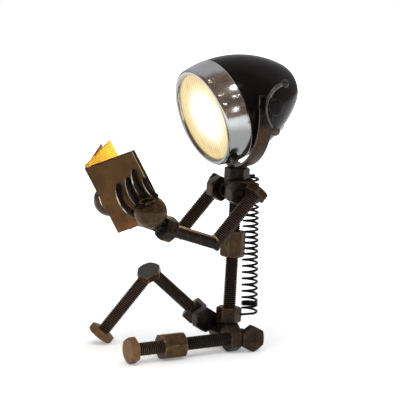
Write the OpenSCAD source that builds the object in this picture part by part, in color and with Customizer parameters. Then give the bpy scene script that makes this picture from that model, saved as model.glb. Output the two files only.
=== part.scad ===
// Desk lamp shaped as a seated figure that reads a book by the light of its own head.
// The body is welded from rods, bolts and nuts; the head is a motorcycle-type headlamp.
// The figure faces -Y, its left side is +X, and the table top is Z = 0. Sizes in mm.

/* [Rods, bolts and nuts] */

// Diameter of every rod and bolt shank
rod_diameter = 16; // [15:0.25:17]
// Hexagon across its flats
across_flats = 28.6; // [27:0.1:29.2]
// Hexagons of the legs across their flats
leg_flats = 30; // [28.6:0.1:31]
// Height of a bolt head
head_height = 10; // [9:0.25:11]
// Height of a plain nut
nut_height = 15.5; // [14:0.25:16]
// How far the corners of a hexagon are cut back at its faces
corner_cut = 2.6; // [1:0.1:3]
// Depth ground off each corner that stands on the table
ground_cut = 0.5; // [0.3:0.1:0.8]

/* [Spine] */

// Angle by which the spine leans back
spine_lean = 3.7; // [2:0.1:5]
// Height of the point the spine is measured from
spine_base_z = 40; // [38:0.5:42]
// Distance of that point behind the origin
spine_base_y = 2.3; // [1:0.1:4]
// Height of the hip nut
hip_nut_height = 19; // [17:0.5:21]
// Length of the hexagon bar across the pelvis
pelvis_length = 34; // [32:0.5:36]
// Length of the long nut at the chest
chest_length = 33; // [30:0.5:36]
// Distance along the spine to the middle of the chest nut
chest_at = 93.7; // [88:0.5:99]
// Angle the chest nut is turned about the spine
chest_turn = 12; // [0:1:30]
// Height of the nut between the shoulders
collar_nut_height = 23.5; // [20:0.5:24]
// Distance along the spine to the middle of that nut
collar_at = 164.25; // [162:0.25:166]
// Distance along the spine to the top of the neck nut
neck_top_at = 191.5; // [190:0.5:194]

/* [Left leg, straight] */

// Distance of the leg from the middle of the figure
leg_x = 25.3; // [24:0.1:27]
// Distance from the origin to the sole of the foot
foot_reach = 155; // [150:1:160]
// Distance from the origin to the middle of the knee nut
knee_reach = 94; // [88:1:100]
// Length of the knee nut
knee_length = 32; // [28:1:36]
// Angle the knee nut is turned on its rod
knee_turn = 19; // [0:1:30]
// Rear face of the nut at the top of the leg
leg_nut_rear = -0.5; // [-2:0.5:2]

/* [Right leg, bent] */

// Middle of the nut on the thigh
thigh_start = [-41, -24.8, 42.3];
// Length from that nut to the middle of the knee
thigh_length = 76; // [74:0.5:80]
// Slope of the thigh
thigh_slope = 42.8; // [41:0.1:45]
// Slope of the shin
shin_slope = 51.5; // [50:0.1:54]
// Angle by which the leg is turned outwards
leg_splay = 28.5; // [27:0.1:30]
// Height of the nut on the thigh
thigh_nut_height = 17; // [15:0.5:18]
// Thickness of the hexagon beside the hip
hip_hex_height = 14; // [12:0.5:15]
// Gap between the left end of the hip hexagon and the middle of the figure
hip_hex_inset = 8; // [7:0.5:9]
// Middle of the bolt head at the knee, from where thigh and shin meet
knee_head_shift = [-1.1, -2.4, -1.6];
// Lean of that head from upright
knee_head_lean = 31; // [26:1:36]
// Direction in which it leans
knee_head_turn = -54; // [-60:1:-48]

/* [Arms] */

// Middle of the shoulder nut, front to back
shoulder_y = 2; // [0:0.25:3]
// Height of the middle of the shoulder nut
shoulder_z = 201.8; // [200:0.25:204]
// Inner face of the shoulder nut, from the middle of the figure
shoulder_inner = 17.2; // [16.8:0.1:18.5]
// Hole in the shoulder nut
shoulder_bore = 13; // [10:0.5:14]
// Middle of the bolt head at the top of the arm, front to back
arm_head_y = 15; // [14:0.25:16]
// Height of the middle of that bolt head
arm_head_z = 204.8; // [204:0.25:206]
// Elbow, front to back
elbow_y = -43.8; // [-46:0.2:-42]
// Height of the elbow
elbow_z = 145.5; // [143:0.5:148]
// Middle of the wrist nut
wrist = [52, -114.3, 170.2];
// Height of the wrist nut
wrist_nut_height = 16; // [14:0.5:16.5]

/* [Hands] */

// Centre of the ball that the palm is cut from
palm = [55.6, -138.4, 192.6];
// Radius of that ball
palm_radius = 20.5; // [20:0.25:21]
// Wall of the palm
palm_wall = 2.5; // [2:0.25:3]
// Height of the palm's rim above the centre of the ball
palm_rim = 15.5; // [15:0.5:17]
// Angle by which the palm tips forward
palm_tip = 15.5; // [12:0.5:18]
// Width of a finger
finger_width = 8; // [7:0.25:9]
// Radius of the curve of a finger
finger_curve = 36; // [30:1:50]
// Angle by which each finger's curve is laid over towards the fold of the book
finger_lean = [60, 60, 50, 60];
// Direction in which each finger leaves the palm
finger_leave = [76, 42, 5, -60];
// Place of each fingertip on the cover: across it, and up it
finger_tips = [[29.4, 60.8], [43.7, 64.3], [55.5, 71.4], [62.5, 56.9]];
// Height on the ball, as an angle, at which each finger leaves
finger_rise = [-3, 22, 34, 36];

/* [Book] */

// Lower end of the spine of the book
book_foot = [0, -153.5, 160.7];
// Angle by which the book leans away from the reader
book_lean = 28.5; // [26:0.5:31]
// Angle from the middle to each cover
book_open = 40.9; // [40:0.1:42]
// Height of the covers
cover_height = 94; // [90:0.5:97]
// Width of the covers
cover_width = 63.8; // [62:0.2:66]
// Thickness of the covers
cover_thickness = 1.2; // [1:0.1:1.6]
// Angle from the middle to the standing page
page_open = 26; // [20:1:28]
// Width of the standing page
page_width = 61; // [56:1:62]
// Thickness of a page
page_thickness = 0.9; // [0.8:0.1:1.2]
// How far the page stands up past the covers
page_step = 3.5; // [2:0.5:5]
// How far the lining sheet stands out past the left cover
lining_step = 3.2; // [2:0.2:4]
// Radius of the brazed fillet in the fold
fold_fillet = 3; // [2.5:0.1:3.5]

/* [Spring] */

// Outer diameter of the coil
spring_diameter = 20.8; // [20:0.2:21]
// Diameter of the wire
wire_diameter = 2.2; // [2:0.1:2.4]
// Foot of the coil's axis
spring_foot = [0, 33, 41.5];
// Head of the coil's axis
spring_head = [-6, 38.6, 219];
// Number of turns and the rise per turn, from the foot upwards
spring_steps = [[1, 9.4], [2, 2.5], [7, 8.1], [15, 7.12]];

/* [Yoke and pivot] */

// Gap between the shell and the inside of the yoke
yoke_clearance = 2.4; // [2:0.1:3.4]
// Width of the flat bar
bar_width = 19; // [18:0.5:20]
// Thickness of the flat bar
bar_thickness = 3; // [2.5:0.1:3]
// Height of the pivot above the foot of the yoke, beyond the radius of the shell
pivot_drop = 17.4; // [16.6:0.2:19]
// Length of the bar past the pivot
bar_past_pivot = 13; // [11:0.5:15]
// Diameter of the pivot studs
stud_diameter = 8; // [7:0.25:9]
// Radial clearance of a stud in the hole it turns in
turning_gap = 0.05; // [0.02:0.01:0.09]
// Gap between faces that turn past each other
side_gap = 0.3; // [0.2:0.05:0.4]
// Diameter of the bosses on the shell
boss_diameter = 20; // [18:0.5:22]
// Depth to which a boss reaches below the widest part of the shell
boss_sink = 8; // [7:0.5:9]
// Thickness of the pivot washers
washer_thickness = 1.6; // [1.2:0.1:2]

/* [Clamp lever] */

// Length of the lever's hub between the washer and its disc
hub_length = 13.1; // [11.5:0.1:15]
// Diameter of that hub
hub_diameter = 13; // [12:0.5:15]
// Diameter of the lever's disc
disc_diameter = 20; // [18:0.5:22]
// Thickness of that disc
disc_thickness = 8; // [7:0.5:9]
// Diameter of the lever's arm
arm_diameter = 5.2; // [4.5:0.1:6]
// Radius of the upper curve of the arm
upper_curve = 28.7; // [27:0.1:31]
// Angle of the upper curve
upper_sweep = 83; // [75:1:88]
// Radius of the lower curve of the arm
lower_curve = 40.8; // [38:0.1:44]
// Angle of the lower curve
lower_sweep = 45.7; // [40:0.1:50]
// Diameter of the balls at its ends
ball_diameter = 10; // [9:0.25:11]
// Diameter of the ball at its lower end
lower_ball_diameter = 12; // [11:0.25:13]

/* [Headlamp] */

// Angle by which the lamp looks down
head_tilt = 16.8; // [12:0.1:20]
// Radius of the shell where it meets the rim
shell_radius = 65.6; // [62:0.1:69]
// Length of the shell
shell_length = 107; // [100:1:112]
// Radius of the shell's nose
nose_radius = 40; // [37:0.5:43]
// Wall of the shell
shell_wall = 1.2; // [1:0.1:1.6]
// Pivot, behind the front edge of the shell
pivot_back = 24; // [23:0.5:26]
// Pivot, above the axis of the lamp
pivot_rise = 3.3; // [2:0.1:4]
// Length of the chrome rim from the shell to the middle of its bead
rim_length = 27.3; // [26:0.1:28.5]
// Step from the shell out to the rim
rim_step = 0.4; // [0.3:0.05:0.5]
// Narrowing of the rim towards its bead
rim_taper = 2.6; // [2:0.1:3.2]
// Wall of the rim
rim_wall = 1; // [0.8:0.1:1.4]
// Width of the rolled bead between the lens and the rim
bead_width = 7.9; // [7:0.1:9]
// Bulge of the lens
lens_bulge = 8.5; // [6:0.25:9]
// Thickness of the lens at its edge
lens_edge = 3; // [2.5:0.1:3.5]
// Distance between the flutes of the lens
flute_pitch = 5.2; // [4.5:0.1:6.5]
// Depth of the flutes
flute_depth = 0.8; // [0.5:0.1:1.2]
// Depth of the reflector's bowl
bowl_depth = 35.4; // [33:0.2:38]
// Thickness of the reflector
bowl_wall = 1; // [0.8:0.1:1.2]
// Radius of the hole in the bowl for the lamp holder
neck_radius = 12; // [11:0.5:13]
// Length of the lamp holder
holder_length = 30; // [26:0.5:32]
// Length of the bulb's cap
cap_length = 20; // [16:0.5:22]
// Diameter of the bulb's cap
cap_diameter = 16; // [14:0.5:18]
// Radius of the bulb
bulb_radius = 15; // [13:0.5:16]
// Angle of the square-headed screw of the rim, from its foot towards the lever
rim_screw_angle = 37; // [34:1:40]
// Distance of that screw in front of the edge of the shell
rim_screw_reach = 22; // [19:0.5:23]
// Width of its head
rim_screw_width = 9; // [8:0.5:10]
// Angle of the cable hole round the back of the shell
grommet_angle = 30; // [26:1:34]
// Diameter of the cable hole
cable_hole = 8; // [6:0.5:9]

/* [Place of the origin] */

// Distance from the middle of the footprint to the figure's middle plane
middle_x = 9.9; // [9:0.1:11]
// Distance from the middle of the footprint back to the front of the pelvis
middle_y = 51.3; // [50:0.1:53]

/* [Output] */

// Which piece to draw

/* [Hidden] */

$fn = 96;
rod_r = rod_diameter / 2;
flat_r = across_flats / 2;
corner_r = flat_r / cos(30);
leg_flat_r = leg_flats / 2;
leg_corner_r = leg_flat_r / cos(30);
leg_cut_h = corner_cut * tan(30);
leg_z = leg_corner_r - ground_cut;
far = 200;
tiny = 0.01;

hip_bottom = -hip_nut_height / 2 + 2.5;
pelvis_at = hip_bottom - flat_r;
pelvis_left = leg_x - leg_flat_r;
pelvis_right = pelvis_left - pelvis_length;
seat_y = leg_nut_rear + leg_flat_r;
seat_head = leg_x + rod_r;

leg_plan = [-sin(leg_splay), -cos(leg_splay), 0];
up = [0, 0, 1];
thigh_dir = leg_plan * cos(thigh_slope) + up * sin(thigh_slope);
shin_dir = leg_plan * cos(shin_slope) - up * sin(shin_slope);
knee = thigh_start + thigh_dir * thigh_length;
sole_z = leg_corner_r * cos(shin_slope) - leg_cut_h * sin(shin_slope) - ground_cut;
shin_length = (knee[2] - sole_z) / sin(shin_slope);
sole = knee + shin_dir * shin_length;
knee_head = knee + knee_head_shift;
knee_head_dir = [sin(knee_head_lean) * cos(knee_head_turn),
                 sin(knee_head_lean) * sin(knee_head_turn), cos(knee_head_lean)];
// Rods stop this far short of the knee, under its bolt head
thigh_stop = 2.5;
shin_stop = 5.5;

shoulder_outer = shoulder_inner + nut_height;
arm_x = shoulder_outer + flat_r;
arm_head = [arm_x, arm_head_y, arm_head_z];
elbow = [arm_x, elbow_y, elbow_z];
arm_dir = unit(elbow - arm_head);
forearm_dir = unit(wrist - elbow);
mitre_dir = unit(arm_dir + forearm_dir);
palm_up = [0, -sin(palm_tip), cos(palm_tip)];

book_up = [0, -sin(book_lean), cos(book_lean)];
book_in = [0, cos(book_lean), sin(book_lean)];
cover_out = [cos(book_open), 0, 0] - book_in * sin(book_open);
cover_across = [sin(book_open), 0, 0] + book_in * cos(book_open);
palm_in_cover = in_axes(palm - book_foot, cover_out, cover_across, book_up);

spring_r = (spring_diameter - wire_diameter) / 2;
spring_dir = spring_head - spring_foot;
joint_gap = 0.4;
joint_swell = 0.12;

neck_lean_gap = flat_r * tan(spine_lean) + 0.05;
neck_top = [0, spine_base_y + neck_top_at * sin(spine_lean),
            spine_base_z + neck_top_at * cos(spine_lean)];
yoke_foot = neck_top + [0, 0, neck_lean_gap];
yoke_inner = shell_radius + yoke_clearance;
yoke_half_width = yoke_inner + bar_thickness;
pivot_height = shell_radius + pivot_drop;
pivot = yoke_foot + [0, 0, pivot_height];
stud_r = stud_diameter / 2;
bolt_washer_x = yoke_half_width + side_gap;
hub_x = bolt_washer_x + washer_thickness;
boss_face = yoke_inner - side_gap;
lever_face = hub_x + hub_length + disc_thickness;

side_radius = (pow(shell_length - nose_radius, 2) + pow(shell_radius, 2)
    - pow(nose_radius, 2)) / (2 * (shell_radius - nose_radius));
rim_outer = shell_radius + rim_step;
rim_curve = (pow(rim_length, 2) + pow(rim_taper, 2)) / (2 * rim_taper);
lens_radius = rim_outer - rim_taper - bead_width;
bead_r = bead_width / 2;
bead_mid = lens_radius + bead_r;
shoulder_at = -rim_length + 2.8;
gasket_t = 1.5;
lens_face = shoulder_at + gasket_t;
lens_back = lens_face + lens_edge;
lens_flange = rim_radius(lens_face) - rim_wall - 1;
lens_curve = (pow(lens_radius, 2) + pow(lens_bulge, 2)) / (2 * lens_bulge);
lens_centre = lens_face - lens_bulge + lens_curve;
flute_count = floor((lens_radius - 3) / flute_pitch);
ring_t = 1.2;
bowl_rim = lens_radius + 0.5;
bowl_radius = (pow(bowl_depth, 2) + pow(bowl_rim, 2)) / (2 * bowl_depth);
bowl_centre = lens_back + ring_t + bowl_depth - bowl_radius;
neck_r = neck_radius;
cap_r = cap_diameter / 2;
neck_at = bowl_centre + sqrt(pow(bowl_radius, 2) - pow(neck_r, 2));
holder_at = neck_at - 2;
bulb_at = holder_at - 0.4 - bulb_radius;
spigot_outer = rim_outer - rim_wall - 0.55;
spigot_length = 8;
wrist_reach = 17;
neck_weld = [20, 20.6, 212.3];

// Vector helpers

function unit(v) = v / norm(v);

function in_axes(p, a, b, c) = [p * a, p * b, p * c];

// Turn about its own axis that points a feature at angle 0 of a piece drawn along v towards w
function turn_towards(v, w) =
    let (t = acos(v[2] / norm(v)), p = atan2(v[1], v[0]))
    let (x = [cos(t) * cos(p), cos(t) * sin(p), -sin(t)], y = [-sin(p), cos(p), 0])
    atan2(w * y, w * x);

// Radius of the outside of the rim at height z
function rim_radius(z) = rim_outer - rim_curve + sqrt(pow(rim_curve, 2) - z * z);

// Places the children at p with +Z pointing along v
module along(p, v, turn = 0) {
    translate(p)
        rotate([0, acos(v[2] / norm(v)), atan2(v[1], v[0])])
            rotate([0, 0, turn])
                children();
}

// Everything on the far side of the plane through p with normal v
module beyond(p, v) {
    along(p, v)
        translate([-far / 2, -far / 2, 0])
            cube(far);
}

// Grinds off whatever reaches below the table top
module standing() {
    difference() {
        children();
        translate([-far, -far, -far])
            cube([2 * far, 2 * far, far]);
    }
}

module in_spine(h) {
    translate([0, spine_base_y, spine_base_z])
        rotate([-spine_lean, 0, 0])
            translate([0, 0, h])
                children();
}

// Left side as drawn, right side mirrored
module sided(side) {
    mirror([side == "left" ? 0 : 1, 0, 0])
        children();
}

// Hexagonal prism with its corners cut back at the lower face, the upper face or both
module hex_blank(h, low = true, high = true, flats = across_flats) {
    corner = flats / 2 / cos(30);
    cut_r = corner - corner_cut;
    reach = corner + 1;
    slope = (reach - cut_r) * tan(30);
    foot = low ? [[cut_r, 0], [reach, slope]] : [[reach, 0]];
    top = high ? [[reach, h - slope], [cut_r, h]] : [[reach, h]];
    intersection() {
        cylinder(h = h, r = corner, $fn = 6);
        rotate_extrude()
            polygon(concat([[0, 0]], foot, top, [[0, h]]));
    }
}

module nut(h, bore_r = rod_r, flats = across_flats) {
    difference() {
        hex_blank(h, flats = flats);
        translate([0, 0, -1])
            cylinder(h = h + 2, r = bore_r);
    }
}

// Bolt drawn from its head's outer face, head first
module bolt(length, flats = across_flats) {
    hex_blank(head_height, true, false, flats);
    translate([0, 0, head_height - tiny])
        cylinder(h = length - head_height + tiny, r = rod_r);
}

// Left leg, lying straight out on the table

module near_leg_bolt() {
    color("#4a3120")
    difference() {
        standing()
            translate([leg_x, -foot_reach, leg_z])
                rotate([-90, 0, 0])
                    rotate([0, 0, 30])
                        bolt(foot_reach + seat_y, leg_flats);
        seat_shank();
    }
}

module near_knee_nut() {
    color("#5a3d22")
    translate([leg_x, -knee_reach - knee_length / 2, leg_z])
        rotate([-90, 0, 0])
            rotate([0, 0, 30 + knee_turn])
                nut(knee_length, flats = leg_flats);
}

module near_hip_nut() {
    color("#33231a")
    standing()
        translate([leg_x, leg_nut_rear - nut_height, leg_z])
            rotate([-90, 0, 0])
                rotate([0, 0, 30])
                    nut(nut_height, flats = leg_flats);
}

module seat_shank() {
    translate([pelvis_left, seat_y, leg_z])
        rotate([0, 90, 0])
            cylinder(h = seat_head - pelvis_left + tiny, r = rod_r);
}

module seat_head_hex() {
    standing()
        translate([seat_head + head_height, seat_y, leg_z])
            rotate([0, -90, 0])
                hex_blank(head_height, true, false, leg_flats);
}

module near_seat_bolt() {
    color("#3a2a1e") {
        seat_shank();
        seat_head_hex();
    }
}

module far_seat_bolt() {
    color("#3a2a1e")
    mirror([1, 0, 0]) {
        seat_head_hex();
        translate([-pelvis_right, seat_y, leg_z])
            rotate([0, 90, 0])
                cylinder(h = seat_head + pelvis_right + tiny, r = rod_r);
    }
}

// Right leg, bent with its foot on the table

module knee_head_blank() {
    along(knee_head + knee_head_dir * head_height / 2, -knee_head_dir,
          turn_towards(-knee_head_dir, shin_dir))
        hex_blank(head_height, true, false);
}

module thigh_shank() {
    along(knee - thigh_dir * thigh_stop, -thigh_dir)
        cylinder(h = thigh_length - thigh_stop + thigh_nut_height / 2, r = rod_r);
}

module far_thigh_bolt() {
    color("#2e2119")
    difference() {
        thigh_shank();
        knee_head_blank();
    }
}

module far_knee_head() {
    color("#4a3424")
    knee_head_blank();
}

module far_thigh_nut() {
    color("#33261d")
    along(thigh_start - thigh_dir * thigh_nut_height / 2, thigh_dir,
          turn_towards(thigh_dir, [1, 0, 0]) + 30)
        nut(thigh_nut_height);
}

module far_shin_bolt() {
    color("#4a3120")
    difference() {
        standing()
            along(sole, -shin_dir, turn_towards(-shin_dir, -up))
                bolt(shin_length - shin_stop, leg_flats);
        thigh_shank();
        knee_head_blank();
    }
}

module far_hip_hex() {
    color("#2a1c14")
    in_spine(pelvis_at)
        translate([-hip_hex_inset - hip_hex_height,
                   -(flat_r + corner_r) * cos(30), (flat_r + corner_r) * sin(30)])
            rotate([0, 90, 0])
                hex_blank(hip_hex_height);
}

// Pelvis and spine

module pelvis_nut() {
    color("#3a2a1e")
    in_spine(pelvis_at)
        translate([pelvis_right, 0, 0])
            rotate([0, 90, 0])
                rotate([0, 0, 30])
                    hex_blank(pelvis_length);
}

module hip_nut() {
    color("#3a2a1e")
    in_spine(hip_bottom)
        nut(hip_nut_height);
}

module spine_rod() {
    color("#241a14")
    in_spine(hip_bottom)
        cylinder(h = neck_top_at - hip_bottom, r = rod_r);
}

module chest_nut() {
    color("#4a3120")
    in_spine(chest_at - chest_length / 2)
        rotate([0, 0, chest_turn])
            nut(chest_length);
}

module collar_nut() {
    color("#2a1f18")
    in_spine(collar_at - collar_nut_height / 2)
        nut(collar_nut_height);
}

module neck_nut() {
    color("#2a1f18")
    in_spine(neck_top_at - nut_height)
        nut(nut_height);
}

// Arms

module shoulder_nut(side) {
    color("#3a2a1e")
    sided(side)
        translate([shoulder_inner, shoulder_y, shoulder_z])
            rotate([0, 90, 0])
                nut(nut_height, shoulder_bore / 2);
}

module arm_blank() {
    along(arm_head - arm_dir * head_height / 2, arm_dir,
          turn_towards(arm_dir, [-1, 0, 0]) + 30)
        bolt(norm(elbow - arm_head) + head_height / 2 + rod_diameter);
}

module forearm_blank() {
    along(elbow - forearm_dir * rod_diameter, forearm_dir)
        cylinder(h = norm(wrist - elbow) + wrist_reach + rod_diameter, r = rod_r);
}

module arm_bolt(side) {
    color("#33241a")
    sided(side)
        difference() {
            arm_blank();
            beyond(elbow, mitre_dir);
        }
}

module forearm(side) {
    color("#2b1d14")
    sided(side)
        difference() {
            forearm_blank();
            beyond(elbow, -mitre_dir);
            translate(palm)
                sphere(r = palm_radius);
        }
}

module wrist_nut(side) {
    color("#33241a")
    sided(side)
        along(wrist - forearm_dir * wrist_nut_height / 2, forearm_dir, 10)
            nut(wrist_nut_height);
}

// Hands: an open ball for the palm and four bent fingers laid on the cover

module palm_cup(side) {
    color("#3a281b")
    sided(side)
        difference() {
            translate(palm)
                sphere(r = palm_radius);
            translate(palm)
                sphere(r = palm_radius - palm_wall);
            beyond(palm + palm_up * palm_rim, palm_up);
        }
}

module in_book() {
    translate(book_foot)
        rotate([book_lean, 0, 0])
            children();
}

// Left cover: local X points out of it, Y across it from the fold, Z up it
module in_cover() {
    in_book()
        rotate([0, 0, -book_open])
            children();
}

// One finger from root to tip, both given in the frame of the left cover
module finger(root, tip, lean) {
    d = tip - root;
    run = norm([d[1], d[2]]);
    chord = norm(d);
    half = asin(chord / 2 / finger_curve);
    translate(root)
        rotate([-atan2(d[1], d[2]), 0, 0])
            rotate([0, atan2(d[0], run), 0])
                rotate([0, 0, -lean])
                    translate([-finger_curve * cos(half), 0, chord / 2])
                        rotate([90, 0, 0])
                            rotate([0, 0, -half])
                                rotate_extrude(angle = 2 * half)
                                    translate([finger_curve, 0])
                                        circle(d = finger_width);
}

function finger_root(i) = palm_in_cover + (palm_radius - 1) * [
    -cos(finger_rise[i]) * cos(finger_leave[i]),
    -cos(finger_rise[i]) * sin(finger_leave[i]),
    sin(finger_rise[i])];

module fingers(side) {
    color("#2d2019")
    sided(side)
        difference() {
            in_cover()
                for (i = [0 : len(finger_leave) - 1])
                    finger(finger_root(i), [cover_thickness, finger_tips[i][0], finger_tips[i][1]],
                           finger_lean[i]);
            translate(palm)
                sphere(r = palm_radius);
            in_cover()
                translate([cover_thickness - far, -far / 2, -far / 2])
                    cube(far);
        }
}

// Weld beads fill the corners between pieces and overlap none of them

module torso_welds() {
    color("#6b4a2a") {
        difference() {
            in_spine(neck_top_at)
                cylinder(h = neck_lean_gap + bar_thickness / 2, r = flat_r - 1.5);
            yoke_bar();
        }
        for (side = ["left", "right"])
            sided(side) {
                difference() {
                    translate([flat_r / 2, shoulder_y + 3.5, shoulder_z])
                        rotate([0, 90, 0])
                            cylinder(h = shoulder_inner - flat_r / 2, r = rod_r + 2.5);
                    in_spine(collar_at - collar_nut_height / 2)
                        hex_blank(collar_nut_height);
                    in_spine(0)
                        cylinder(h = far, r = rod_r);
                }
                difference() {
                    translate(arm_head + arm_dir * (head_height / 2 + 1) - [flat_r - 4.6, 0, 0])
                        sphere(r = 4.5);
                    arm_blank();
                }
                difference() {
                    translate(neck_weld)
                        sphere(r = 7);
                    in_spine(collar_at - collar_nut_height / 2)
                        cylinder(h = far, r = corner_r + tiny);
                    translate([shoulder_inner - tiny, -far / 2, shoulder_z - far])
                        cube([far, far, far + flat_r + tiny]);
                }
            }
    }
}

module hip_welds() {
    color("#6b4a2a") {
        difference() {
            in_spine(pelvis_at)
                translate([-hip_hex_inset - hip_hex_height / 2,
                           -flat_r * cos(30), flat_r * sin(30)])
                    sphere(r = 6);
            pelvis_nut();
            far_hip_hex();
            in_spine(hip_bottom)
                hex_blank(hip_nut_height);
        }
        difference() {
            translate([-hip_hex_inset - hip_hex_height, thigh_start[1] + 2, thigh_start[2] - 3])
                sphere(r = 8);
            far_hip_hex();
            far_thigh_nut();
            far_thigh_bolt();
        }
    }
}

// Half of the bead round a mitred joint, on the side that v points to
module half_bead(start, run, v) {
    difference() {
        along(elbow, mitre_dir)
            rotate_extrude()
                translate([rod_r + 1, 0])
                    circle(r = 2.2);
        beyond(elbow + v * tiny, -v);
        along(start, run)
            cylinder(h = norm(elbow - start) + rod_diameter, r = rod_r);
    }
}

module elbow_weld(side) {
    color("#a87a3a")
    sided(side) {
        half_bead(arm_head, arm_dir, -mitre_dir);
        half_bead(wrist, -forearm_dir, mitre_dir);
    }
}

// Book: one folded sheet, a lining sheet on its left cover and one standing page

module cover_plan() {
    for (s = [-1, 1])
        rotate([0, 0, s * book_open])
            translate([s < 0 ? 0 : -cover_thickness, 0])
                square([cover_thickness, cover_width]);
    circle(r = cover_thickness);
}

module book_cover() {
    color("#7a5230")
    in_book()
        linear_extrude(height = cover_height)
            cover_plan();
}

module book_page() {
    color("#d8a244")
    in_book()
        translate([0, 0, 0.5])
            linear_extrude(height = cover_height + page_step - 0.5)
                difference() {
                    union() {
                        rotate([0, 0, page_open])
                            translate([-page_thickness / 2, 0])
                                square([page_thickness, page_width]);
                        translate([0, fold_fillet])
                            circle(r = fold_fillet);
                    }
                    cover_plan();
                }
}

module book_lining() {
    color("#8a6232")
    in_cover()
        translate([-page_thickness, 2 * fold_fillet + 2, -0.5])
            cube([page_thickness, cover_width + lining_step - 2 * fold_fillet - 2,
                  cover_height + 1]);
}

// Spring: half turns of bent wire, each tilted so that it starts where the last one ends.
// A small ball closes each joint between two halves.

module half_turn(z, rise, flip) {
    tilt = atan(rise / 2 / spring_r);
    side = flip ? -1 : 1;
    translate([side * spring_r, 0, z])
        sphere(d = wire_diameter + joint_swell, $fn = 32);
    translate([0, 0, z + rise / 2])
        rotate([0, side * tilt, 0])
            rotate([0, 0, (flip ? 180 : 0) + joint_gap])
                rotate_extrude(angle = 180 - 2 * joint_gap)
                    translate([norm([spring_r, rise / 2]), 0])
                        circle(d = wire_diameter, $fn = 24);
}

function spring_start(i) = i == 0 ? 0
    : spring_start(i - 1) + spring_steps[i - 1][0] * spring_steps[i - 1][1];

module in_spring() {
    along(spring_foot, spring_dir, -atan2(spring_dir[1], spring_dir[0]))
        children();
}

// Straight end of the wire, from the coil forward to what holds it
module spring_end(z, reach) {
    in_spring()
        translate([spring_r, -0.2, z])
            rotate([90, 0, 0])
                cylinder(h = reach, d = wire_diameter, $fn = 24);
}

module spring() {
    color("#15110f") {
        in_spring() {
            for (i = [0 : len(spring_steps) - 1], k = [0 : spring_steps[i][0] - 1], h = [0, 1])
                half_turn(spring_start(i) + (k + h / 2) * spring_steps[i][1],
                          spring_steps[i][1] / 2, h == 1);
            translate([spring_r, 0, spring_start(len(spring_steps))])
                sphere(d = wire_diameter + joint_swell, $fn = 32);
        }
        difference() {
            union() {
                spring_end(0, spring_foot[1] - spine_base_y);
                spring_end(spring_start(len(spring_steps)), spring_diameter);
            }
            in_spine(hip_bottom)
                hex_blank(hip_nut_height);
            in_spine(neck_top_at - nut_height)
                hex_blank(nut_height);
        }
    }
}

// Yoke: flat bar bent to a U

module yoke_bar() {
    translate(yoke_foot)
        rotate([90, 0, 0])
            linear_extrude(height = bar_width, center = true)
                difference() {
                    union() {
                        translate([0, yoke_half_width])
                            circle(r = yoke_half_width, $fn = 180);
                        translate([-yoke_half_width, yoke_half_width])
                            square([2 * yoke_half_width,
                                    pivot_height + bar_past_pivot - yoke_half_width]);
                    }
                    translate([0, yoke_half_width])
                        circle(r = yoke_inner, $fn = 180);
                    translate([-yoke_inner, yoke_half_width])
                        square([2 * yoke_inner, far]);
                    translate([-far, pivot_height + bar_past_pivot])
                        square([2 * far, far]);
                }
}

module yoke() {
    color("#3d2415")
    difference() {
        yoke_bar();
        translate(pivot)
            rotate([0, 90, 0])
                cylinder(h = far, r = stud_r + turning_gap, center = true);
    }
}

// Headlamp, drawn about its own axis: +Z runs back from the joint of shell and rim,
// and +Y points down

module in_head() {
    translate(pivot)
        rotate([head_tilt - 90, 0, 0])
            translate([0, pivot_rise, -pivot_back])
                children();
}

// Half outline of the shell, moved in by the given amount
module shell_plan(inset) {
    joint = (side_radius - inset) * (shell_length - nose_radius) / (side_radius - nose_radius);
    intersection() {
        translate([shell_radius - side_radius, 0])
            circle(r = side_radius - inset, $fn = 360);
        square([shell_radius, joint]);
    }
    intersection() {
        translate([0, shell_length - nose_radius])
            circle(r = nose_radius - inset, $fn = 180);
        translate([0, joint])
            square(shell_radius);
    }
}

module grommet_axis() {
    translate([0, shell_radius - side_radius, 0])
        rotate([grommet_angle - 90, 0, 0])
            translate([0, 0, side_radius])
                children();
}

module shell() {
    color("#0c0b0b")
    in_head()
        difference() {
            rotate_extrude($fn = 180) {
                difference() {
                    shell_plan(0);
                    shell_plan(shell_wall);
                }
                translate([spigot_outer - shell_wall, -spigot_length])
                    square([shell_wall, spigot_length + tiny]);
                translate([spigot_outer - shell_wall, 0])
                    square([shell_radius - shell_wall / 2 - spigot_outer + shell_wall, 3]);
            }
            grommet_axis()
                cylinder(h = 20, r = cable_hole / 2 + 2, center = true);
        }
}

module rim_screw_shaft() {
    rotate([0, 0, -rim_screw_angle])
        translate([0, rim_radius(rim_screw_reach) - rim_wall - 0.4, -rim_screw_reach])
            rotate([-90, 0, 0])
                cylinder(h = 5, r = 2);
}

module rim() {
    color("#c9ccd0")
    in_head()
        difference() {
            rotate_extrude($fn = 180) {
                difference() {
                    intersection() {
                        translate([rim_outer - rim_curve, 0])
                            circle(r = rim_curve, $fn = 360);
                        translate([0, -rim_length])
                            square([rim_outer, rim_length]);
                    }
                    intersection() {
                        translate([rim_outer - rim_curve, 0])
                            circle(r = rim_curve - rim_wall, $fn = 360);
                        translate([0, shoulder_at])
                            square([rim_outer, rim_length]);
                    }
                    translate([0, -far / 2])
                        square([bead_mid, far]);
                }
                intersection() {
                    translate([bead_mid, -rim_length])
                        circle(r = bead_r);
                    translate([0, -far - rim_length + 2.8])
                        square([far, far]);
                }
            }
            rim_screw_shaft();
        }
}

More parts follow.
